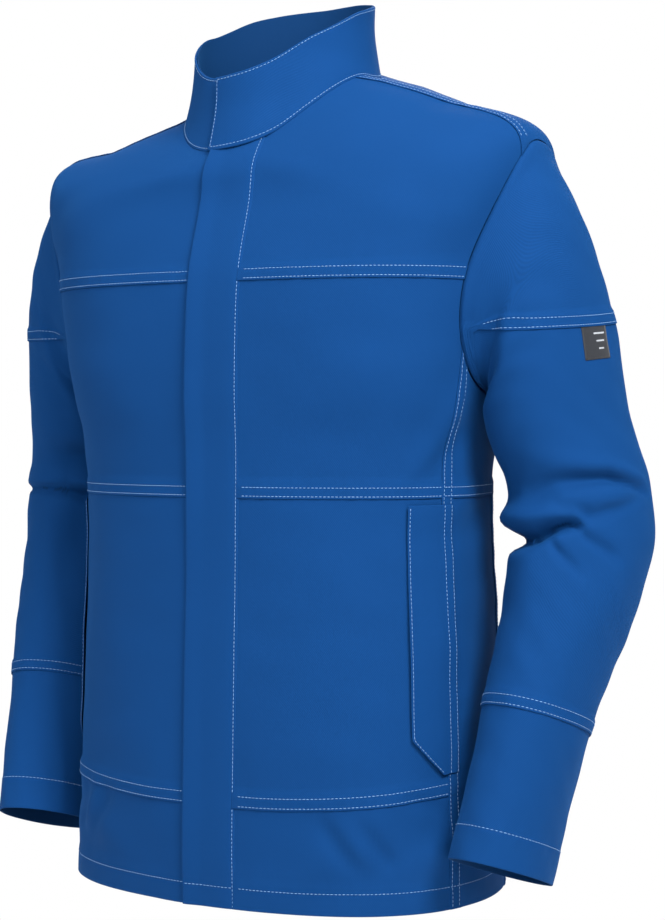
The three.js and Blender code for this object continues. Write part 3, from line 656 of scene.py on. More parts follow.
def cloth_piece(name, surface, a, b, relief, laps=(), rolls=(), lift=0.0, layers=1.0, kind="cloth",
                inside="lining", wrapped=False, side=1, hem=(), hem_width=24.0):
    """Sews one piece of cloth over a grid (a, b) of a surface.

    laps are the edges that lie over their neighbour, rolls the edges that turn down into a plain seam and hem the
    edges that are turned up and sewn. side -1 makes the wearer's right one. The piece's flat size is measured
    along the surface, before it is given its folds.
    """
    s = sizes()
    base = surface.point(a, b)
    normal = surface.normal(a, b)
    edges = edge_distances(base)
    lap, lap_height = s.lap / MM, s.lap_height / MM
    thick = np.full(a.shape, s.cloth / MM * layers)
    raised = np.zeros(a.shape)
    pucker = np.zeros(a.shape)
    for edge in laps:
        d = edges[edge]
        raised = np.maximum(raised, lap_height * (1 - smooth(lap, lap + 3.5, d)))
        along = edges["left"] if edge in ("low", "high") else edges["low"]
        beside = np.exp(-np.abs(d - lap * 0.6) / 13)
        pucker = pucker + 0.28 * beside * waves(along, d * 0.25, 31 + len(name), 17)
    for edge in hem:
        d = edges[edge]
        folded = 1 - smooth(hem_width, hem_width + 1.5, d)
        thick = thick + 0.55 * folded
        raised = np.maximum(raised, 0.4 * folded)
        beside = np.exp(-np.abs(d - hem_width) / 12)
        pucker = pucker + 0.30 * beside * waves(edges["left"], d * 0.3, 41 + len(name), 19)
    for edge in rolls:
        raised = raised - 1.5 * (1 - smooth(0, 3.2, edges[edge])) ** 1.5
    outward = lift + raised + pucker + relief
    rounding = np.zeros(a.shape)
    for edge in ([] if wrapped else ["left", "right"]) + ["low", "high"]:
        inward = np.clip(1 - edges[edge] / (thick * 0.5), 0, 1)
        rounding = np.maximum(rounding, thick * 0.5 * (1 - np.sqrt(1 - np.minimum(inward, 0.97) ** 2)))
    outer = base + normal * (outward - rounding)[..., None]
    inner = base + normal * (outward - thick + rounding)[..., None]
    flat = np.stack([edges["left"], edges["low"]], -1).reshape(-1, 2) * MM
    if wrapped:
        outer, inner = outer[:, :-1], inner[:, :-1]
        flat = np.stack([edges["left"][:, :-1], edges["low"][:, :-1]], -1).reshape(-1, 2) * MM
    rows, columns = outer.shape[:2]
    vertices = to_row(np.concatenate([outer.reshape(-1, 3), inner.reshape(-1, 3)]))
    faces, outside = shell_faces(rows, columns, wrapped)
    if side < 0:
        vertices = vertices * np.array([-1, 1, 1])
        faces = faces[:, ::-1]
    obj = new_object(name, settle(vertices), faces.tolist(), kind, np.concatenate([flat, flat]),
                     (inside, outside, 2 * outside))
    CLOTH_PIECES[name] = obj
    du = np.linalg.norm(np.diff(base, axis=1), axis=-1)
    dv = np.linalg.norm(np.diff(base, axis=0), axis=-1)
    area = float(((du[:-1] + du[1:]) / 2 * (dv[:, :-1] + dv[:, 1:]) / 2).sum())
    width, length = float(du.sum(1).max()), float(dv.sum(0).max())
    area = min(area, 0.999 * width * length)
    return obj


def rows_by_height(low, high, left, right, at=40.0, shift_low=0.0, shift_high=0.0, grid=None):
    """A grid (u, s) of the body whose side edges are functions of the ring number."""
    grid = grid or sizes().grid / MM
    low = float(BODY.shift(np.array(at), np.array(float(low)), 0, shift_low)[1])
    high = float(BODY.shift(np.array(at), np.array(float(high)), 0, shift_high)[1])
    s = even_places(lambda v: body_point(at, v), low, high, grid)
    middle = s[len(s) // 2]
    u = even_places(lambda v: body_point(v, middle), float(left(middle)), float(right(middle)), grid)
    share = (u - u[0]) / (u[-1] - u[0])
    lo, hi = left(s)[:, None], right(s)[:, None]
    return lo + (hi - lo) * share[None, :], np.repeat(s[:, None], len(share), 1)


def rows_by_angle(left, right, low, high):
    """A grid (u, s) of the body whose lower and upper edges are functions of the angle."""
    grid = sizes().grid / MM
    middle = (left + right) / 2
    bottom, top = float(low(np.array(middle))), float(high(np.array(middle)))
    u = even_places(lambda v: body_point(v, (bottom + top) / 2), left, right, grid)
    s = even_places(lambda v: body_point(middle, v), bottom, top, grid)
    share = (s - s[0]) / (s[-1] - s[0])
    lo, hi = low(u)[None, :], high(u)[None, :]
    return np.repeat(u[None, :], len(share), 0), lo + (hi - lo) * share[:, None]


def torso_relief(u, s, side=1):
    """The body's folds, which fade out towards the armholes and the neck."""
    seen = u if side > 0 else -u
    amount = sizes().creases
    reach = np.sqrt(((np.abs(((u + 180) % 360) - 180) - 90) / ARMHOLE_HALF_ANGLE) ** 2
                    + ((s - ARMHOLE_MIDDLE) / ARMHOLE_REACH) ** 2)
    hold = smooth(1.0, 1.22, reach) * (1 - smooth(5.7, 6.9, s))
    return body_relief(seen, s, body_point(u, s), amount) * hold


def edge_shift(function, mm):
    """A side edge moved by millimetres round the body."""
    return lambda s: BODY.shift(function(s), np.clip(s, HEM, NECK), mm, 0)[0]


def constant(value):
    return lambda s: np.full(np.shape(s), float(value))


def front_line(x):
    """The edge that runs up the front at a distance x from the middle."""
    return lambda s: angle_at(x, s)


class JACKET_OT_body(bpy.types.Operator):
    """Sews the front, side and back panels and the yokes"""

    bl_idname = "jacket.body"
    bl_label = "Body panels"

    def execute(self, context):
        for side, word in ((1, "left"), (-1, "right")):
            self.front(side, word)
            self.side(side, word)
        self.back()
        return {"FINISHED"}

    def front(self, side, word):
        side_edge = edge_shift(constant(SIDE_SEAM), UNDER)
        middle_edge = edge_shift(front_line(PLACKET_SEAM), -3.0) if side > 0 else front_line(RIGHT_FRONT_EDGE)
        armhole_top = 4.86

        def chest_edge(s):
            return np.minimum(armhole_angle(s), side_edge(s))

        def yoke_edge(s):
            seam = edge_shift(constant(SHOULDER_SEAM), UNDER)(np.clip(s, armhole_top, NECK))
            over = np.where(s < SHOULDER, armhole_angle(np.minimum(s, SHOULDER)), 200)
            return np.minimum(seam, np.where(s < armhole_top, armhole_angle(s), over))

        pieces = [
            ("front_hem", HEM, LOWER, side_edge, 0, UNDER, (), ("low",)),
            ("front_lower", LOWER, WAIST, side_edge, PAST, UNDER, ("low",), ()),
            ("front_chest", WAIST, CHEST, chest_edge, PAST, UNDER, ("low",), ()),
            ("front_yoke", CHEST, NECK, yoke_edge, PAST, 0, ("low",), ()),
        ]
        for name, low, high, edge, down, up, laps, hem in pieces:
            u, s = rows_by_height(low, high, middle_edge, edge, shift_low=down, shift_high=up)
            obj = cloth_piece(f"{name}_{word}_cloth", BODY, u, s, torso_relief(u, s, side), laps=laps, hem=hem,
                              side=side)
            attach(obj, "torso")
            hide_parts(f"{name}_{word}")

    def side(self, side, word):
        front_seam, back_seam = constant(SIDE_SEAM), constant(BACK_SEAM)
        u, s = rows_by_height(HEM, WAIST, edge_shift(front_seam, PAST), edge_shift(back_seam, UNDER), at=90,
                              shift_high=UNDER)
        obj = cloth_piece(f"side_lower_{word}_cloth", BODY, u, s, torso_relief(u, s, side), laps=("left",),
                          hem=("low",), side=side)
        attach(obj, "torso")
        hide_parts(f"side_lower_{word}")
        underarm = np.array(2.6)
        left = float(edge_shift(front_seam, PAST)(underarm))
        right = float(edge_shift(back_seam, 4.0)(underarm))
        start = float(BODY.shift(np.array(90.0), np.array(float(WAIST)), 0, PAST)[1])
        u, s = rows_by_angle(left, right, constant(start), armhole_ring)
        obj = cloth_piece(f"side_upper_{word}_cloth", BODY, u, s, torso_relief(u, s, side), laps=("low", "left"),
                          rolls=("high",), side=side)
        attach(obj, "torso")
        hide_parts(f"side_upper_{word}")

    def back(self):
        seam = edge_shift(constant(BACK_SEAM), PAST)

        def far(function):
            return lambda s: 360 - function(s)

        def upper(s):
            return np.where(s > 3.34, np.maximum(armhole_angle(s, True), seam(s)), seam(s))

        u, s = rows_by_height(HEM, WAIST, seam, far(seam), at=180, shift_high=UNDER)
        obj = cloth_piece("back_lower_cloth", BODY, u, s, torso_relief(u, s), laps=("left", "right"), hem=("low",))
        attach(obj, "torso")
        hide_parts("back_lower")
        u, s = rows_by_height(WAIST, BACK_YOKE_SEAM, upper, far(upper), at=180, shift_low=PAST, shift_high=UNDER)
        obj = cloth_piece("back_upper_cloth", BODY, u, s, torso_relief(u, s), laps=("low",))
        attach(obj, "torso")
        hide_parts("back_upper")

        start = float(BODY.shift(np.array(180.0), np.array(BACK_YOKE_SEAM), 0, PAST)[1])
        first, last = 90 - ARMHOLE_HALF_ANGLE, 90 + ARMHOLE_HALF_ANGLE

        def low(u):
            near = np.minimum(u, 360 - u)
            top = armhole_ring(np.clip(near, first, last), True)
            return np.where(near < last - 0.5, np.maximum(top, start), start)

        left = float(edge_shift(constant(SHOULDER_SEAM), PAST)(np.array(6.0)))
        u, s = rows_by_angle(left, 360 - left, low, constant(NECK))
        obj = cloth_piece("back_yoke_cloth", BODY, u, s, torso_relief(u, s), laps=("left", "right"))
        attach(obj, "torso")
        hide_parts("back_yoke")


class JACKET_OT_placket(bpy.types.Operator):
    """Sews the cover over the front opening, the fly strip below it and the right front's facing"""

    bl_idname = "jacket.placket"
    bl_label = "Placket"

    def execute(self, context):
        strips = [
            ("placket_cover", -PLACKET_REACH, PLACKET_END, 1.5, 2.0, "placket", "cloth"),
            ("fly", -FLY_REACH, PLACKET_END + 0.5, -0.9, 1.0, "fly", "lining"),
            ("underlap", -UNDERLAP_EDGE, UNDERLAP_BACK, -2.6, 1.0, "torso", "lining"),
        ]
        for name, left, right, lift, layers, body, kind in strips:
            u, s = rows_by_height(HEM, NECK, front_line(left), front_line(right), at=4, grid=3.2)
            cover = name == "placket_cover"
            relief = self.cover_relief(u, s) if cover else np.zeros(u.shape)
            obj = cloth_piece(f"{name}_cloth", BODY, u, s, relief, lift=lift, layers=layers, kind=kind,
                              inside="lining", rolls=("right",) if cover else ())
            if body == "torso":
                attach(obj, "torso")
            else:
                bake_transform(obj)
            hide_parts(name)
        return {"FINISHED"}

    def cover_relief(self, u, s):
        """The cover's free edge stands off in slow waves, and its stitched edge is drawn down."""
        points = body_point(u, s)
        x, y = points[..., 0], points[..., 2]
        free = smooth(20, 0, x + PLACKET_REACH)
        relief = 0.35 * waves(x * 0.4, y, 51, 120) + free * (2.6 + 1.0 * waves(0 * x, y, 52, 210))
        drawn = 0.35 * np.exp(-((x - PLACKET_STITCH) / 1.3) ** 2)
        return relief - drawn - 1.0 * smooth(24, PLACKET_END, x)


def biceps_ring(phi):
    """The ring number of the biceps seam, which runs level round the arm and fades out beside the armhole."""
    level = 500.0 - 6.0 * np.sin(phi)
    low, high = np.full(np.shape(phi), 0.35), np.full(np.shape(phi), 3.4)
    for _ in range(30):
        mid = (low + high) / 2
        above = sleeve_point(phi, mid)[..., 2] > level
        low, high = np.where(above, mid, low), np.where(above, high, mid)
    return low


class JACKET_OT_sleeves(bpy.types.Operator):
    """Sews the sleeve caps, the sleeves and the cuffs"""

    bl_idname = "jacket.sleeves"
    bl_label = "Sleeves"

    def grid(self, low, high):
        """A grid (phi, ring) of the sleeve whose upper and lower edges are functions of phi."""
        spacing = sizes().grid / MM * 0.67
        phi = np.linspace(-math.pi, math.pi, int(round(2 * math.pi * SLEEVE_ROUND / spacing)) + 1)
        a, b = float(low(np.array([OUTSEAM]))[0]), float(high(np.array([OUTSEAM]))[0])
        share = (even_places(lambda v: sleeve_point(OUTSEAM, v), a, b, spacing) - a) / (b - a)
        low, high = low(phi)[None, :], high(phi)[None, :]
        return np.repeat(phi[None, :], len(share), 0), low + (high - low) * share[:, None]

    def relief(self, phi, k, side):
        return sleeve_relief(phi, self.down(k), sizes().creases, side)

    @staticmethod
    def down(k):
        """Distance along the sleeve from the armhole, in mm."""
        dense = np.linspace(0, CUFF_RING, 161)
        line = sleeve_point(np.full(161, OUTSEAM), dense)
        length = np.concatenate([[0], np.cumsum(np.linalg.norm(np.diff(line, axis=0), axis=1))])
        return np.interp(k, dense, length)

    def execute(self, context):
        def moved(ring, mm):
            return lambda phi: SLEEVE.shift(phi, np.clip(ring(phi), 0.01, CUFF_RING), 0, mm)[1]

        def at(ring):
            return lambda phi: np.full(np.shape(phi), float(ring))

        def under_cap(phi):
            return np.maximum(moved(biceps_ring, -UNDER)(phi), 0.22)

        for side, word in ((1, "left"), (-1, "right")):
            lower = f"lower_sleeve_{word}"
            phi, k = self.grid(at(0), moved(biceps_ring, -PAST))
            roll = 0.9 * np.exp(-((k - 0.10) / 0.09) ** 2)
            obj = cloth_piece(f"sleeve_cap_{word}_cloth", SLEEVE, phi, k, self.relief(phi, k, side) + roll,
                              laps=("high",), rolls=("low",), wrapped=True, side=side)
            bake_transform(obj)
            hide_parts(f"sleeve_cap_{word}")
            phi, k = self.grid(under_cap, moved(at(FOREARM_RING), -PAST))
            obj = cloth_piece(f"sleeve_{word}_cloth", SLEEVE, phi, k, self.relief(phi, k, side), laps=("high",),
                              wrapped=True, side=side)
            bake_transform(obj)
            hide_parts(f"sleeve_upper_{word}", f"sleeve_lower_{word}")
            phi, k = self.grid(moved(at(FOREARM_RING), -UNDER), at(CUFF_RING))
            obj = cloth_piece(f"sleeve_cuff_{word}_cloth", SLEEVE, phi, k, self.relief(phi, k, side), hem=("high",),
                              hem_width=30.0, wrapped=True, side=side)
            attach(obj, lower)
            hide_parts(f"sleeve_cuff_{word}")
        return {"FINISHED"}


def collar_angle(x):
    """The collar's angle at a distance x from the middle, at the neck seam."""
    return float(angle_at(x, float(NECK)))


def hanger_loop():
    """The tape that hangs in a bow inside the back of the neck."""
    half, drop, width, thick = 34.0, 22.0, 6.0, 1.4
    a, w = np.meshgrid(np.linspace(-0.12, math.pi + 0.12, 61), np.linspace(0, 1, 9))
    reach = np.stack([(half - width * w) * np.cos(a), np.zeros(a.shape),
                      -(drop - width * w) * np.sin(np.clip(a, 0, math.pi))
                      + 30 * (np.clip(-a, 0, 1) + np.clip(a - math.pi, 0, 1))], -1)
    rounded = thick / 2 * np.sqrt(np.clip(1 - (2 * w - 1) ** 6, 0, 1))
    middle = reach + np.array([0, 62.0 - thick / 2, NECK_HEIGHT + 31.08])
    outer = middle - np.stack([0 * rounded, rounded, 0 * rounded], -1)
    inner = middle + np.stack([0 * rounded, rounded, 0 * rounded], -1)
    faces, _ = shell_faces(*a.shape, False)
    points = to_row(np.concatenate([outer.reshape(-1, 3), inner.reshape(-1, 3)]))
    flat = np.stack([a * 30, w * 6], -1).reshape(-1, 2) * MM
    obj = new_object("hanger_loop_cloth", points, faces[:, ::-1].tolist(), "lining", np.concatenate([flat, flat]))
    CLOTH_PIECES[obj.name] = obj
    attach(obj, "hanger")
    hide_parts("hanger_loop")
    return obj


class JACKET_OT_collar(bpy.types.Operator):
    """Sews the stand collar with its overlapping end, its lining and the hanger loop"""

    bl_idname = "jacket.collar"
    bl_label = "Collar"

    def execute(self, context):
        grid = 3.6
        hanger = hanger_loop()
        outer_end = collar_angle(-COLLAR_END - COLLAR_WRAP)
        pieces = [
            ("collar_left_cloth", outer_end, 180.0, 1.1, 2.3, 1),
            ("collar_right_cloth", collar_angle(-17.0), 180.0, 0.9, 2.1, -1),
            ("collar_lining_cloth", 35.0, 371.0, -1.1, 1.0, 1),
        ]
        for name, left, right, lift, layers, side in pieces:
            u = even_places(lambda v: collar_point(v, 0.5), left, right, grid)
            t = even_places(lambda v: collar_point(40.0, v), -0.015, 1.0, grid)
            a, b = np.meshgrid(u, t)
            rise = collar_point(a, b)[..., 2]
            relief = 0.35 * waves(a * 1.5, rise, 61 + side, 70) * smooth(0, 0.2, b)
            if name == "collar_left_cloth":
                relief = relief + 3.4 * smooth(33, 12, a)
            obj = cloth_piece(name, COLLAR, a, b, relief, lift=lift, layers=layers, side=side,
                              kind="lining" if name == "collar_lining_cloth" else "cloth")
            if name == "collar_left_cloth":
                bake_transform(obj)
                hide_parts("collar_left", "collar_tab")
            else:
                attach(obj, "torso")
                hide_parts(name.replace("_cloth", ""))
        return {"FINISHED"}


# ---------------------------------------------------------------- stitches
class Thread:
    """Stitches along paths, laid on the sewn cloth and kept as one object for each body."""

    def __init__(self):
        self.places = {}

    def row(self, key, hosts, points, normals):
        """A row of stitches along points in the frame's metres, pressed on to the host objects."""
        s = sizes()
        above, reach = 0.012, 0.026
        length = np.concatenate([[0], np.cumsum(np.linalg.norm(np.diff(points, axis=0), axis=1))])
        count = int(length[-1] / s.pitch)
        if count < 1:
            return
        middles = (np.arange(count) + 0.5) * length[-1] / count
        trees = [tree_of(h) for h in hosts]

        def lay(where):
            p = np.stack([np.interp(where, length, points[:, i]) for i in range(3)], -1)
            n = np.stack([np.interp(where, length, normals[:, i]) for i in range(3)], -1)
            out = []
            for a, b in zip(p, n):
                a, b = Vector(a), Vector(b).normalized()
                best = None
                for tree in trees:
                    hit, _, _, far = tree.ray_cast(a + b * above, -b, reach)
                    if hit is not None and (best is None or far < best[1]):
                        best = (hit, far)
                out.append((best[0] if best else None, b))
            return out

        starts, ends = lay(middles - s.stitch / 2), lay(middles + s.stitch / 2)
        for (p, n), (q, _) in zip(starts, ends):
            if p is not None and q is not None:
                self.places.setdefault(key, []).append((p, q, n, s.thread))

    def sew(self):
        """Turns every collected stitch into mesh."""
        sides, steps = 6, 3
        for key, stitches in self.places.items():
            vertices, faces = [], []
            for p, q, n, thick in stitches:
                way = q - p
                if way.length < 1e-5:
                    continue
                way_n = way.normalized()
                n = (n - way_n * n.dot(way_n)).normalized()
                across = way_n.cross(n)
                first = len(vertices)
                for j in range(steps):
                    f = (j / (steps - 1)) * 2 - 1
                    swell = math.sqrt(max(0.0, 1 - (0.86 * f) ** 2))
                    middle = (p + q) / 2 + way * (0.5 * f) + n * (thick * (0.42 * swell - 0.14))
                    for i in range(sides):
                        angle = 2 * math.pi * i / sides
                        vertices.append(middle + (across * math.cos(angle) * 0.62 + n * math.sin(angle) * 0.44)
                                        * thick * swell)
                for j in range(steps - 1):
                    for i in range(sides):
                        a, b = first + j * sides + i, first + j * sides + (i + 1) % sides
                        faces.append((a, b, b + sides, a + sides))
                faces.append(tuple(first + i for i in reversed(range(sides))))
                faces.append(tuple(first + (steps - 1) * sides + i for i in range(sides)))
            name, bodies, span = key
            obj = new_object(f"stitches_{name}", np.array([tuple(v) for v in vertices]), faces, "thread")
            if span is None:
                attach(obj, bodies[0])
            else:
                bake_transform(obj)
        self.places.clear()


TREES = {}


def tree_of(name):
    """A search tree over a cloth piece's mesh."""
    if name not in TREES:
        mesh = CLOTH_PIECES[name].data
        TREES[name] = BVHTree.FromPolygons([v.co for v in mesh.vertices], [tuple(p.vertices) for p in mesh.polygons])
    return TREES[name]


# What a row of stitches rides: its name, its bodies, and where one body's hold ends and the other's begins.
COVER_FOLD = ((0.0, 0.0, -0.06), (0.0, 0.0, -0.20))
TORSO = ("torso", ("torso",), None)
COVER = ("placket", ("torso", "placket"), COVER_FOLD)
TAB = ("collar", ("torso", "collar_tab"), ((0.050, -0.060, 0.0), (0.030, -0.085, 0.0)))


def cap_key(side, word):
    start = Vector((side * 0.2526, 0, -0.060))
    end = start + Vector((side * 0.982, 0, -0.190)) * 0.006
    return (f"cap_{word}", ("torso", f"upper_sleeve_{word}"), (tuple(start), tuple(end)))


def sleeve_key(word):
    return (f"sleeve_{word}", (f"upper_sleeve_{word}", f"lower_sleeve_{word}"), ((0, 0, -0.330), (0, 0, -0.410)))


def row_path(surface, a, b, side=1, mm_a=0.0, mm_b=0.0):
    """Points and normals, in the frame's metres, of a line of a surface moved by millimetres each way."""
    a, b = np.broadcast_arrays(np.asarray(a, float), np.asarray(b, float))
    a, b = surface.shift(a, b, mm_a, mm_b)
    points, normals = to_row(surface.point(a, b)), surface.normal(a, b)
    if side < 0:
        points, normals = points * [-1, 1, 1], normals * [-1, 1, 1]
    return settle(points), normals


class JACKET_OT_stitches(bpy.types.Operator):
    """Sews the twin rows along the seams and the single rows of hems, placket, collar and pocket flaps"""

    bl_idname = "jacket.stitches"
    bl_label = "Stitches"

    def twin(self, key, hosts, surface, a, b, side, way, direction):
        """Two rows beside a lapped edge that lies a little past its seam. way is the axis moved along: a or b."""
        gap = sizes().row_gap / MM
        for off in (0.6, 0.6 + gap):
            shift = {f"mm_{way}": direction * off}
            self.thread.row(key, hosts, *row_path(surface, a, b, side, **shift))

    def execute(self, context):
        self.thread = Thread()
        for side, word in ((1, "left"), (-1, "right")):
            self.front(side, word)
            self.sleeve(side, word)
            self.flap(side, word)
        self.rear()
        self.placket_and_collar()
        self.thread.sew()
        return {"FINISHED"}

    def front(self, side, word):
        start = 37.0 if side > 0 else 19.0
        hosts = {n: [f"front_{n}_{word}_cloth"] for n in ("hem", "lower", "chest", "yoke")}
        side_edge = edge_shift(constant(SIDE_SEAM), -2.0)
        for name, ring in (("lower", LOWER), ("chest", WAIST), ("yoke", CHEST)):
            right = float(side_edge(np.array(float(ring)))) if ring < CHEST else float(armhole_angle(CHEST)) - 0.4
            u = np.linspace(float(angle_at(start, ring)), right, 120)
            self.twin(TORSO, hosts[name], BODY, u, np.full(120, float(ring)), side, "b", 1)
        u = np.linspace(SIDE_SEAM + 0.3, BACK_SEAM - 0.3, 60)
        self.twin(TORSO, [f"side_upper_{word}_cloth"], BODY, u, np.full(60, float(WAIST)), side, "b", 1)
        low, high = flap_rings()
        for first, last, host in ((0.02, low, "side_lower"), (high, WAIST, "side_lower"),
                                  (WAIST, 3.32, "side_upper")):
            s = np.linspace(first, last, 80)
            self.twin(TORSO, [f"{host}_{word}_cloth"], BODY, SIDE_SEAM, s, side, "a", 1)
        s = np.linspace(0.02, WAIST, 200)
        self.twin(TORSO, ["back_lower_cloth"], BODY, BACK_SEAM, s, side, "a", 1)
        s = np.linspace(SHOULDER + 0.02, 6.97, 90)
        self.twin(TORSO, ["back_yoke_cloth"], BODY, SHOULDER_SEAM, s, side, "a", 1)
        u = np.linspace(float(angle_at(start, 0.0)), 180.0, 300)
        self.thread.row(TORSO, hosts["hem"] + [f"side_lower_{word}_cloth", "back_lower_cloth"],
                        *row_path(BODY, u, 0.0, side, mm_b=HEM_STITCH))

    def rear(self):
        u = np.linspace(BACK_SEAM - 0.5, 360 - BACK_SEAM + 0.5, 240)
        self.twin(TORSO, ["back_upper_cloth"], BODY, u, np.full(240, float(WAIST)), 1, "b", 1)
        edge = float(armhole_angle(BACK_YOKE_SEAM, True)) + 0.6
        u = np.linspace(edge, 360 - edge, 200)
        self.twin(TORSO, ["back_yoke_cloth"], BODY, u, np.full(200, BACK_YOKE_SEAM), 1, "b", 1)

    def sleeve(self, side, word):
        phi = np.linspace(-math.pi, math.pi, 200)
        over = np.linspace(-1.9, 1.9, 160)
        self.twin(cap_key(side, word), [f"sleeve_cap_{word}_cloth"], SLEEVE, over, biceps_ring(over), side, "b", -1)
        self.twin(sleeve_key(word), [f"sleeve_{word}_cloth"], SLEEVE, phi, np.full(200, float(FOREARM_RING)), side,
                  "b", -1)
        self.thread.row((f"cuff_{word}", (f"lower_sleeve_{word}",), None), [f"sleeve_cuff_{word}_cloth"],
                        *row_path(SLEEVE, phi, np.full(200, float(CUFF_RING)), side, mm_b=-28.5))

    def flap(self, side, word):
        key = flap_key(side, word)
        hosts = [f"pocket_flap_{word}_cloth"]
        low, high = flap_rings()
        s = np.linspace(low, high, 90)
        self.thread.row(key, hosts, *row_path(BODY, flap_edge(s[1:-1]), s[1:-1], side, mm_a=1.9))
        self.twin(key, hosts, BODY, SIDE_SEAM, s, side, "a", 1)

    def placket_and_collar(self):
        s = np.linspace(0.01, 6.98, 300)
        self.thread.row(COVER, ["placket_cover_cloth"], *row_path(BODY, angle_at(PLACKET_STITCH, s), s))
        u = np.linspace(float(angle_at(-15.0, 0.0)), float(angle_at(31.0, 0.0)), 20)
        self.thread.row(COVER, ["placket_cover_cloth"], *row_path(BODY, u, 0.0, mm_b=HEM_STITCH))
        end = collar_angle(-COLLAR_END - COLLAR_WRAP)
        collar = ["collar_left_cloth"]
        u = np.linspace(end + 1.6, 180, 160)
        for t in (0.03, 0.965):
            self.thread.row(TAB, collar, *row_path(COLLAR, u, t))
        self.thread.row(TAB, collar, *row_path(COLLAR, end + 1.6, np.linspace(0.03, 0.965, 30)))
        u = np.linspace(collar_angle(-14.0), 180, 160)
        for t in (0.03, 0.965):
            self.thread.row(TORSO, ["collar_right_cloth"], *row_path(COLLAR, u, t, -1))


# ---------------------------------------------------------------- pockets, label and fastenings
# A pocket flap's lower and upper end over the hem, its reach in degrees, and its slanted corner's share of its length.
FLAP_LOW, FLAP_HIGH, FLAP_ANGLE, FLAP_CORNER = 116.0, 345.0, 13.8, 0.16
# The left flap's hinge in the frame: a point in metres and the way of the axis.
FLAP_HINGE = (0.1931, -0.0562, -0.5960)
FLAP_AXIS = (-0.0353, 0.0088, 0.9993)
POUCH_REACH = 50.8    # how far a pouch runs from its opening, in degrees


def ring_at_height(z, u):
    """The ring number whose height at angle u is z."""
    low, high = 0.0, float(NECK)
    for _ in range(40):
        mid = (low + high) / 2
        low, high = (mid, high) if body_point(u, mid)[2] < z else (low, mid)
    return low


def flap_rings():
    return ring_at_height(FLAP_LOW, SIDE_SEAM), ring_at_height(FLAP_HIGH, SIDE_SEAM)


def flap_root(s):
    return edge_shift(constant(SIDE_SEAM), 11.5)(np.asarray(s, float))


def flap_key(side, word):
    """The flap turns on a hinge along the seam that holds it; this gives its stitches' key: a name, the torso and flap
    bodies, and a short span across that hinge.
    """
    hinge, axis = np.array(FLAP_HINGE), np.array(FLAP_AXIS)
    way = body_point(SIDE_SEAM - 2, 1.5) - body_point(SIDE_SEAM, 1.5)
    way = way - axis * way.dot(axis)
    way = way / np.linalg.norm(way)
    mirror = np.array([side, 1, 1])
    start, end = (hinge + way * -0.001) * mirror, (hinge + way * 0.004) * mirror
    return (f"flap_{word}", ("torso", f"flap_{word}"), (tuple(start), tuple(end)))


def flap_edge(s):
    low, high = flap_rings()
    up = np.clip((np.asarray(s, float) - low) / (high - low) / FLAP_CORNER, 0, 1)
    return SIDE_SEAM - FLAP_ANGLE * (0.2 + 0.8 * up)


class JACKET_OT_pockets(bpy.types.Operator):
    """Sews the flaps over the side pockets and the pouches behind them"""

    bl_idname = "jacket.pockets"
    bl_label = "Pockets"

    def execute(self, context):
        low, high = flap_rings()
        for side, word in ((1, "left"), (-1, "right")):
            u, s = rows_by_height(low, high, flap_edge, flap_root, at=64.0, grid=3.0)
            free = smooth(SIDE_SEAM + 1.5, SIDE_SEAM - 4.5, u)
            stand = 1.7 if side > 0 else 0.2
            height = body_point(u, s)[..., 2]
            relief = torso_relief(u, s, side) + free * (stand + 0.6 * waves(0 * u, height, 71, 90))
            obj = cloth_piece(f"pocket_flap_{word}_cloth", BODY, u, s, relief, lift=2.2, rolls=("right",), side=side)
            _, bodies, span = flap_key(side, word)
            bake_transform(obj)
            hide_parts(f"pocket_flap_{word}")
            bottom, top = ring_at_height(FLAP_LOW + 2, SIDE_SEAM), ring_at_height(FLAP_HIGH - 16, SIDE_SEAM)
            u, s = rows_by_height(bottom, top, constant(SIDE_SEAM - 2 - POUCH_REACH), constant(SIDE_SEAM - 4),
                                  grid=8.0)
            obj = cloth_piece(f"pocket_pouch_{word}_cloth", BODY, u, s, torso_relief(u, s, side), lift=-2.6,
                              layers=5.0, side=side, kind="lining")
            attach(obj, "torso")
            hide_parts(f"pocket_pouch_{word}")
        return {"FINISHED"}


class JACKET_OT_details(bpy.types.Operator):
    """Adds the sleeve label and the collar's fastening patches"""

    bl_idname = "jacket.details"
    bl_label = "Label and patches"

    def execute(self, context):
        self.label()
        for name, body, lift in (("collar_loop", "torso", 2.0), ("collar_hook", "collar_tab", 3.1)):
            u, t = np.meshgrid(np.linspace(-COLLAR_END + 2, COLLAR_END - 2, 12), np.linspace(0.14, 0.86, 18))
            obj = cloth_piece(f"{name}_cloth", COLLAR, u, t, np.zeros(u.shape), lift=lift, kind="patch",
                              inside="patch")
            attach(obj, body)
            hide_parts(name)
        return {"FINISHED"}

    def label(self):
        phi, share = np.meshgrid(np.linspace(0.0, 0.5, 14), np.linspace(0, 1, 16))
        start = SLEEVE.shift(phi, biceps_ring(phi), 0, 0.5)[1]
        k = start + (SLEEVE.shift(phi, start, 0, 26.0)[1] - start) * share
        relief = sleeve_relief(phi, JACKET_OT_sleeves.down(k), sizes().creases, 1)
        obj = cloth_piece("sleeve_label_cloth", SLEEVE, phi, k, relief, lift=0.75, layers=0.7, kind="label",
                          inside="label")
        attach(obj, "upper_sleeve_left")
        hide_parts("sleeve_label")


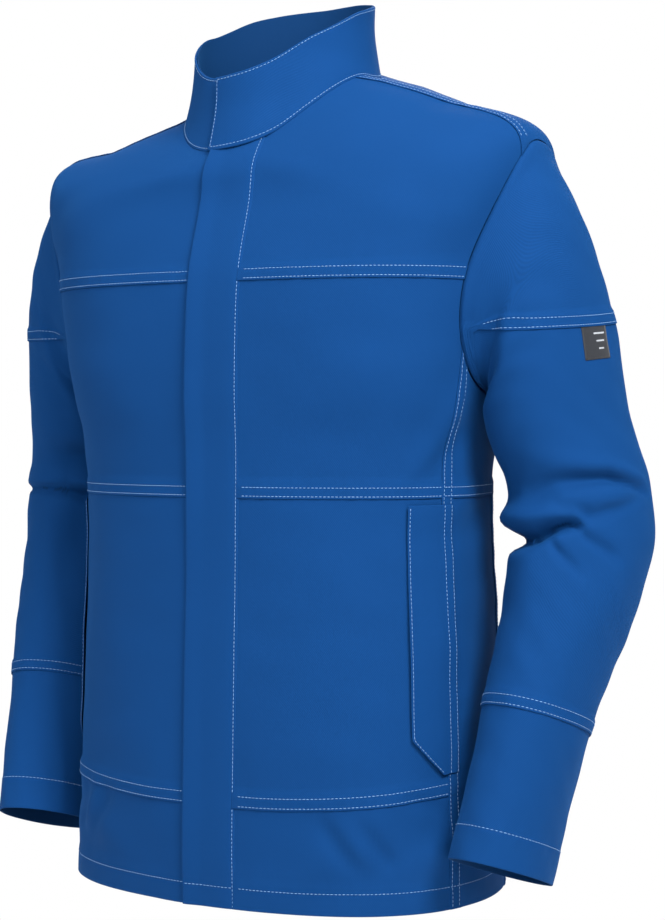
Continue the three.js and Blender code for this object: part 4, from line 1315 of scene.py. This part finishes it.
class JACKET_OT_studs(bpy.types.Operator):
    """Turns the press studs and their sockets under the placket cover"""

    bl_idname = "jacket.studs"
    bl_label = "Press studs"

    def execute(self, context):
        socket = [(0, 0.25), (3.6, 0.25), (5.2, 0.1), (6.3, -0.3), (6.5, -0.8), (6.3, -1.7), (4.2, -1.85),
                  (3.9, -1.3), (3.7, -0.2), (0, -0.2)]
        stud = [(0, -0.75), (1.6, -0.75), (2.0, -1.0), (1.8, -1.5), (2.0, -2.2), (5.4, -2.3), (6.3, -2.6),
                (6.5, -3.4), (6.3, -5.2), (5.0, -5.5), (0, -5.5)]
        for i in range(STUD_COUNT):
            ring = self.ring_at(STUD_CENTRE, STUD_LOW + STUD_PITCH * i)
            angle = angle_at(STUD_CENTRE, ring)
            place = body_point(angle, ring)
            normal = BODY.normal(np.array(angle), np.array(ring))
            for name, profile, body in (("socket", socket, "fly"), ("stud", stud, "torso")):
                obj = self.turned(f"{name}_{i + 1}_metal", profile, place, normal)
                if body == "fly":
                    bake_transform(obj)
                else:
                    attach(obj, body)
                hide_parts(f"{name}_{i + 1}")
        return {"FINISHED"}

    @staticmethod
    def ring_at(x, z):
        low, high = 0.0, float(NECK)
        for _ in range(40):
            mid = (low + high) / 2
            low, high = (mid, high) if body_point(angle_at(x, mid), mid)[2] < z else (low, mid)
        return low

    @staticmethod
    def turned(name, profile, place, normal, sides=28):
        """A turned metal piece: the profile's radii and depths, in mm, spun round the cloth's normal."""
        mesh = bmesh.new()
        rotation = Vector((0, 0, 1)).rotation_difference(Vector(normal)).to_matrix()
        origin = Vector(to_row(place))
        rings = []
        for radius, depth in profile:
            count = 1 if radius == 0 else sides
            rings.append([mesh.verts.new(origin + rotation @ (Vector((
                radius * math.cos(2 * math.pi * j / sides), radius * math.sin(2 * math.pi * j / sides), depth)) * MM))
                for j in range(count)])
        for a, b in zip(rings, rings[1:]):
            for j in range(sides):
                k = (j + 1) % sides
                corners = [a[j % len(a)], b[j % len(b)], b[k % len(b)], a[k % len(a)]]
                mesh.faces.new(list(dict.fromkeys(corners)))
        bmesh.ops.recalc_face_normals(mesh, faces=mesh.faces)
        data = bpy.data.meshes.new(name)
        mesh.to_mesh(data)
        mesh.free()
        data.polygons.foreach_set("use_smooth", np.ones(len(data.polygons), bool))
        data.materials.append(material("metal"))
        obj = bpy.data.objects.new(name, data)
        bpy.context.scene.collection.objects.link(obj)
        return obj


# ---------------------------------------------------------------- the stage
# Each lamp's name, degrees round from the camera, height, distance, size and watts.
LAMPS = [("key", 30, 1.6, 2.0, 0.9, 105), ("fill", -85, 0.8, 2.2, 1.0, 14), ("front", -12, 1.3, 2.4, 1.2, 55),
         ("top", 10, 2.0, 0.5, 1.0, 22), ("back", 170, 1.3, 2.2, 1.2, 40)]
LAMP_BASE = -0.3      # the level that the lamps' heights are counted from
LAMP_AIM = (0, 0, -0.32)
CAMERA_ASIDE, CAMERA_LEVEL, CAMERA_TILT = 0.039, -0.295, 1.1


class JACKET_OT_stage(bpy.types.Operator):
    """Lays the pale floor, sets the soft studio light and places the camera"""

    bl_idname = "jacket.stage"
    bl_label = "Stage"

    def execute(self, context):
        scene = context.scene
        stage = scene.jacket_stage
        low = -NECK_HEIGHT * MM - stage.drop
        bpy.ops.mesh.primitive_plane_add(size=60, location=(0, 0, low))
        floor = context.active_object
        floor.name = "floor"
        m = Shader("pale_floor", Roughness=0.9, Specular_IOR_Level=0.1, Base_Color=(0.75, 0.75, 0.75, 1))
        seen = m.node("ShaderNodeLightPath")
        glow = m.node("ShaderNodeEmission", None, {"Color": (1, 1, 1, 1), "Strength": 1.0})
        plain = Socket(m, m.bsdf.outputs[0])
        mixed = m.node("ShaderNodeMixShader", None, {0: seen, 1: plain, 2: glow})
        m.tree.links.new(mixed.link, m.tree.nodes["Material Output"].inputs[0])
        floor.data.materials.append(m.material)
        world = bpy.data.worlds.new("studio")
        scene.world = world
        world.use_nodes = True
        tree = world.node_tree
        soft = tree.nodes["Background"]
        soft.inputs["Color"].default_value = (1, 1, 1, 1)
        soft.inputs["Strength"].default_value = 0.17
        paper = tree.nodes.new("ShaderNodeBackground")
        paper.inputs["Color"].default_value = (1, 1, 1, 1)
        path, both = tree.nodes.new("ShaderNodeLightPath"), tree.nodes.new("ShaderNodeMixShader")
        tree.links.new(path.outputs["Is Camera Ray"], both.inputs[0])
        tree.links.new(soft.outputs[0], both.inputs[1])
        tree.links.new(paper.outputs[0], both.inputs[2])
        tree.links.new(both.outputs[0], tree.nodes["World Output"].inputs[0])
        ahead = math.radians(stage.azimuth)
        for name, azimuth, height, distance, size, watts in LAMPS:
            turn = ahead + math.radians(azimuth)
            light = bpy.data.lights.new(name, "AREA")
            light.shape, light.size, light.energy = "SQUARE", size, watts
            lamp = bpy.data.objects.new(name, light)
            scene.collection.objects.link(lamp)
            lamp.location = (distance * math.sin(turn), -distance * math.cos(turn), height + LAMP_BASE)
            aim = Vector(LAMP_AIM) - lamp.location
            lamp.rotation_euler = aim.to_track_quat("-Z", "Y").to_euler()
        camera = bpy.data.cameras.new("camera")
        camera.lens, camera.sensor_width, camera.sensor_fit = stage.lens, 36, "AUTO"
        viewer = bpy.data.objects.new("camera", camera)
        scene.collection.objects.link(viewer)
        viewer.location = (stage.distance * math.sin(ahead) + CAMERA_ASIDE * math.cos(ahead),
                           -stage.distance * math.cos(ahead) + CAMERA_ASIDE * math.sin(ahead), CAMERA_LEVEL)
        viewer.rotation_euler = (math.radians(90 - CAMERA_TILT), 0, ahead)
        scene.camera = viewer
        scene.view_settings.view_transform = "Standard"
        return {"FINISHED"}


# ---------------------------------------------------------------- add-on
STEPS = ("body", "placket", "sleeves", "collar", "pockets", "details", "studs", "stitches", "stage")
CLASSES = (JacketSizes, JacketColours, StageSettings, JACKET_OT_body, JACKET_OT_placket, JACKET_OT_sleeves,
           JACKET_OT_collar, JACKET_OT_pockets, JACKET_OT_details, JACKET_OT_studs, JACKET_OT_stitches,
           JACKET_OT_stage)


class JACKET_PT_panel(bpy.types.Panel):
    """The jacket's settings and steps"""

    bl_idname = "JACKET_PT_panel"
    bl_label = "Work jacket"
    bl_space_type = "VIEW_3D"
    bl_region_type = "UI"
    bl_category = "Jacket"

    def draw(self, context):
        for settings in (context.scene.jacket_sizes, context.scene.jacket_colours, context.scene.jacket_stage):
            box = self.layout.box()
            for name in settings.__annotations__:
                box.prop(settings, name)
        for step in STEPS:
            self.layout.operator(f"jacket.{step}")


def register():
    for cls in CLASSES + (JACKET_PT_panel,):
        bpy.utils.register_class(cls)
    bpy.types.Scene.jacket_sizes = PointerProperty(type=JacketSizes)
    bpy.types.Scene.jacket_colours = PointerProperty(type=JacketColours)
    bpy.types.Scene.jacket_stage = PointerProperty(type=StageSettings)


def unregister():
    del bpy.types.Scene.jacket_stage
    del bpy.types.Scene.jacket_colours
    del bpy.types.Scene.jacket_sizes
    for cls in reversed(CLASSES + (JACKET_PT_panel,)):
        bpy.utils.unregister_class(cls)


def main():
    register()
    bpy.ops.object.select_all(action="DESELECT")
    for step in STEPS:
        getattr(bpy.ops.jacket, step)()


if __name__ == "__main__":
    main()
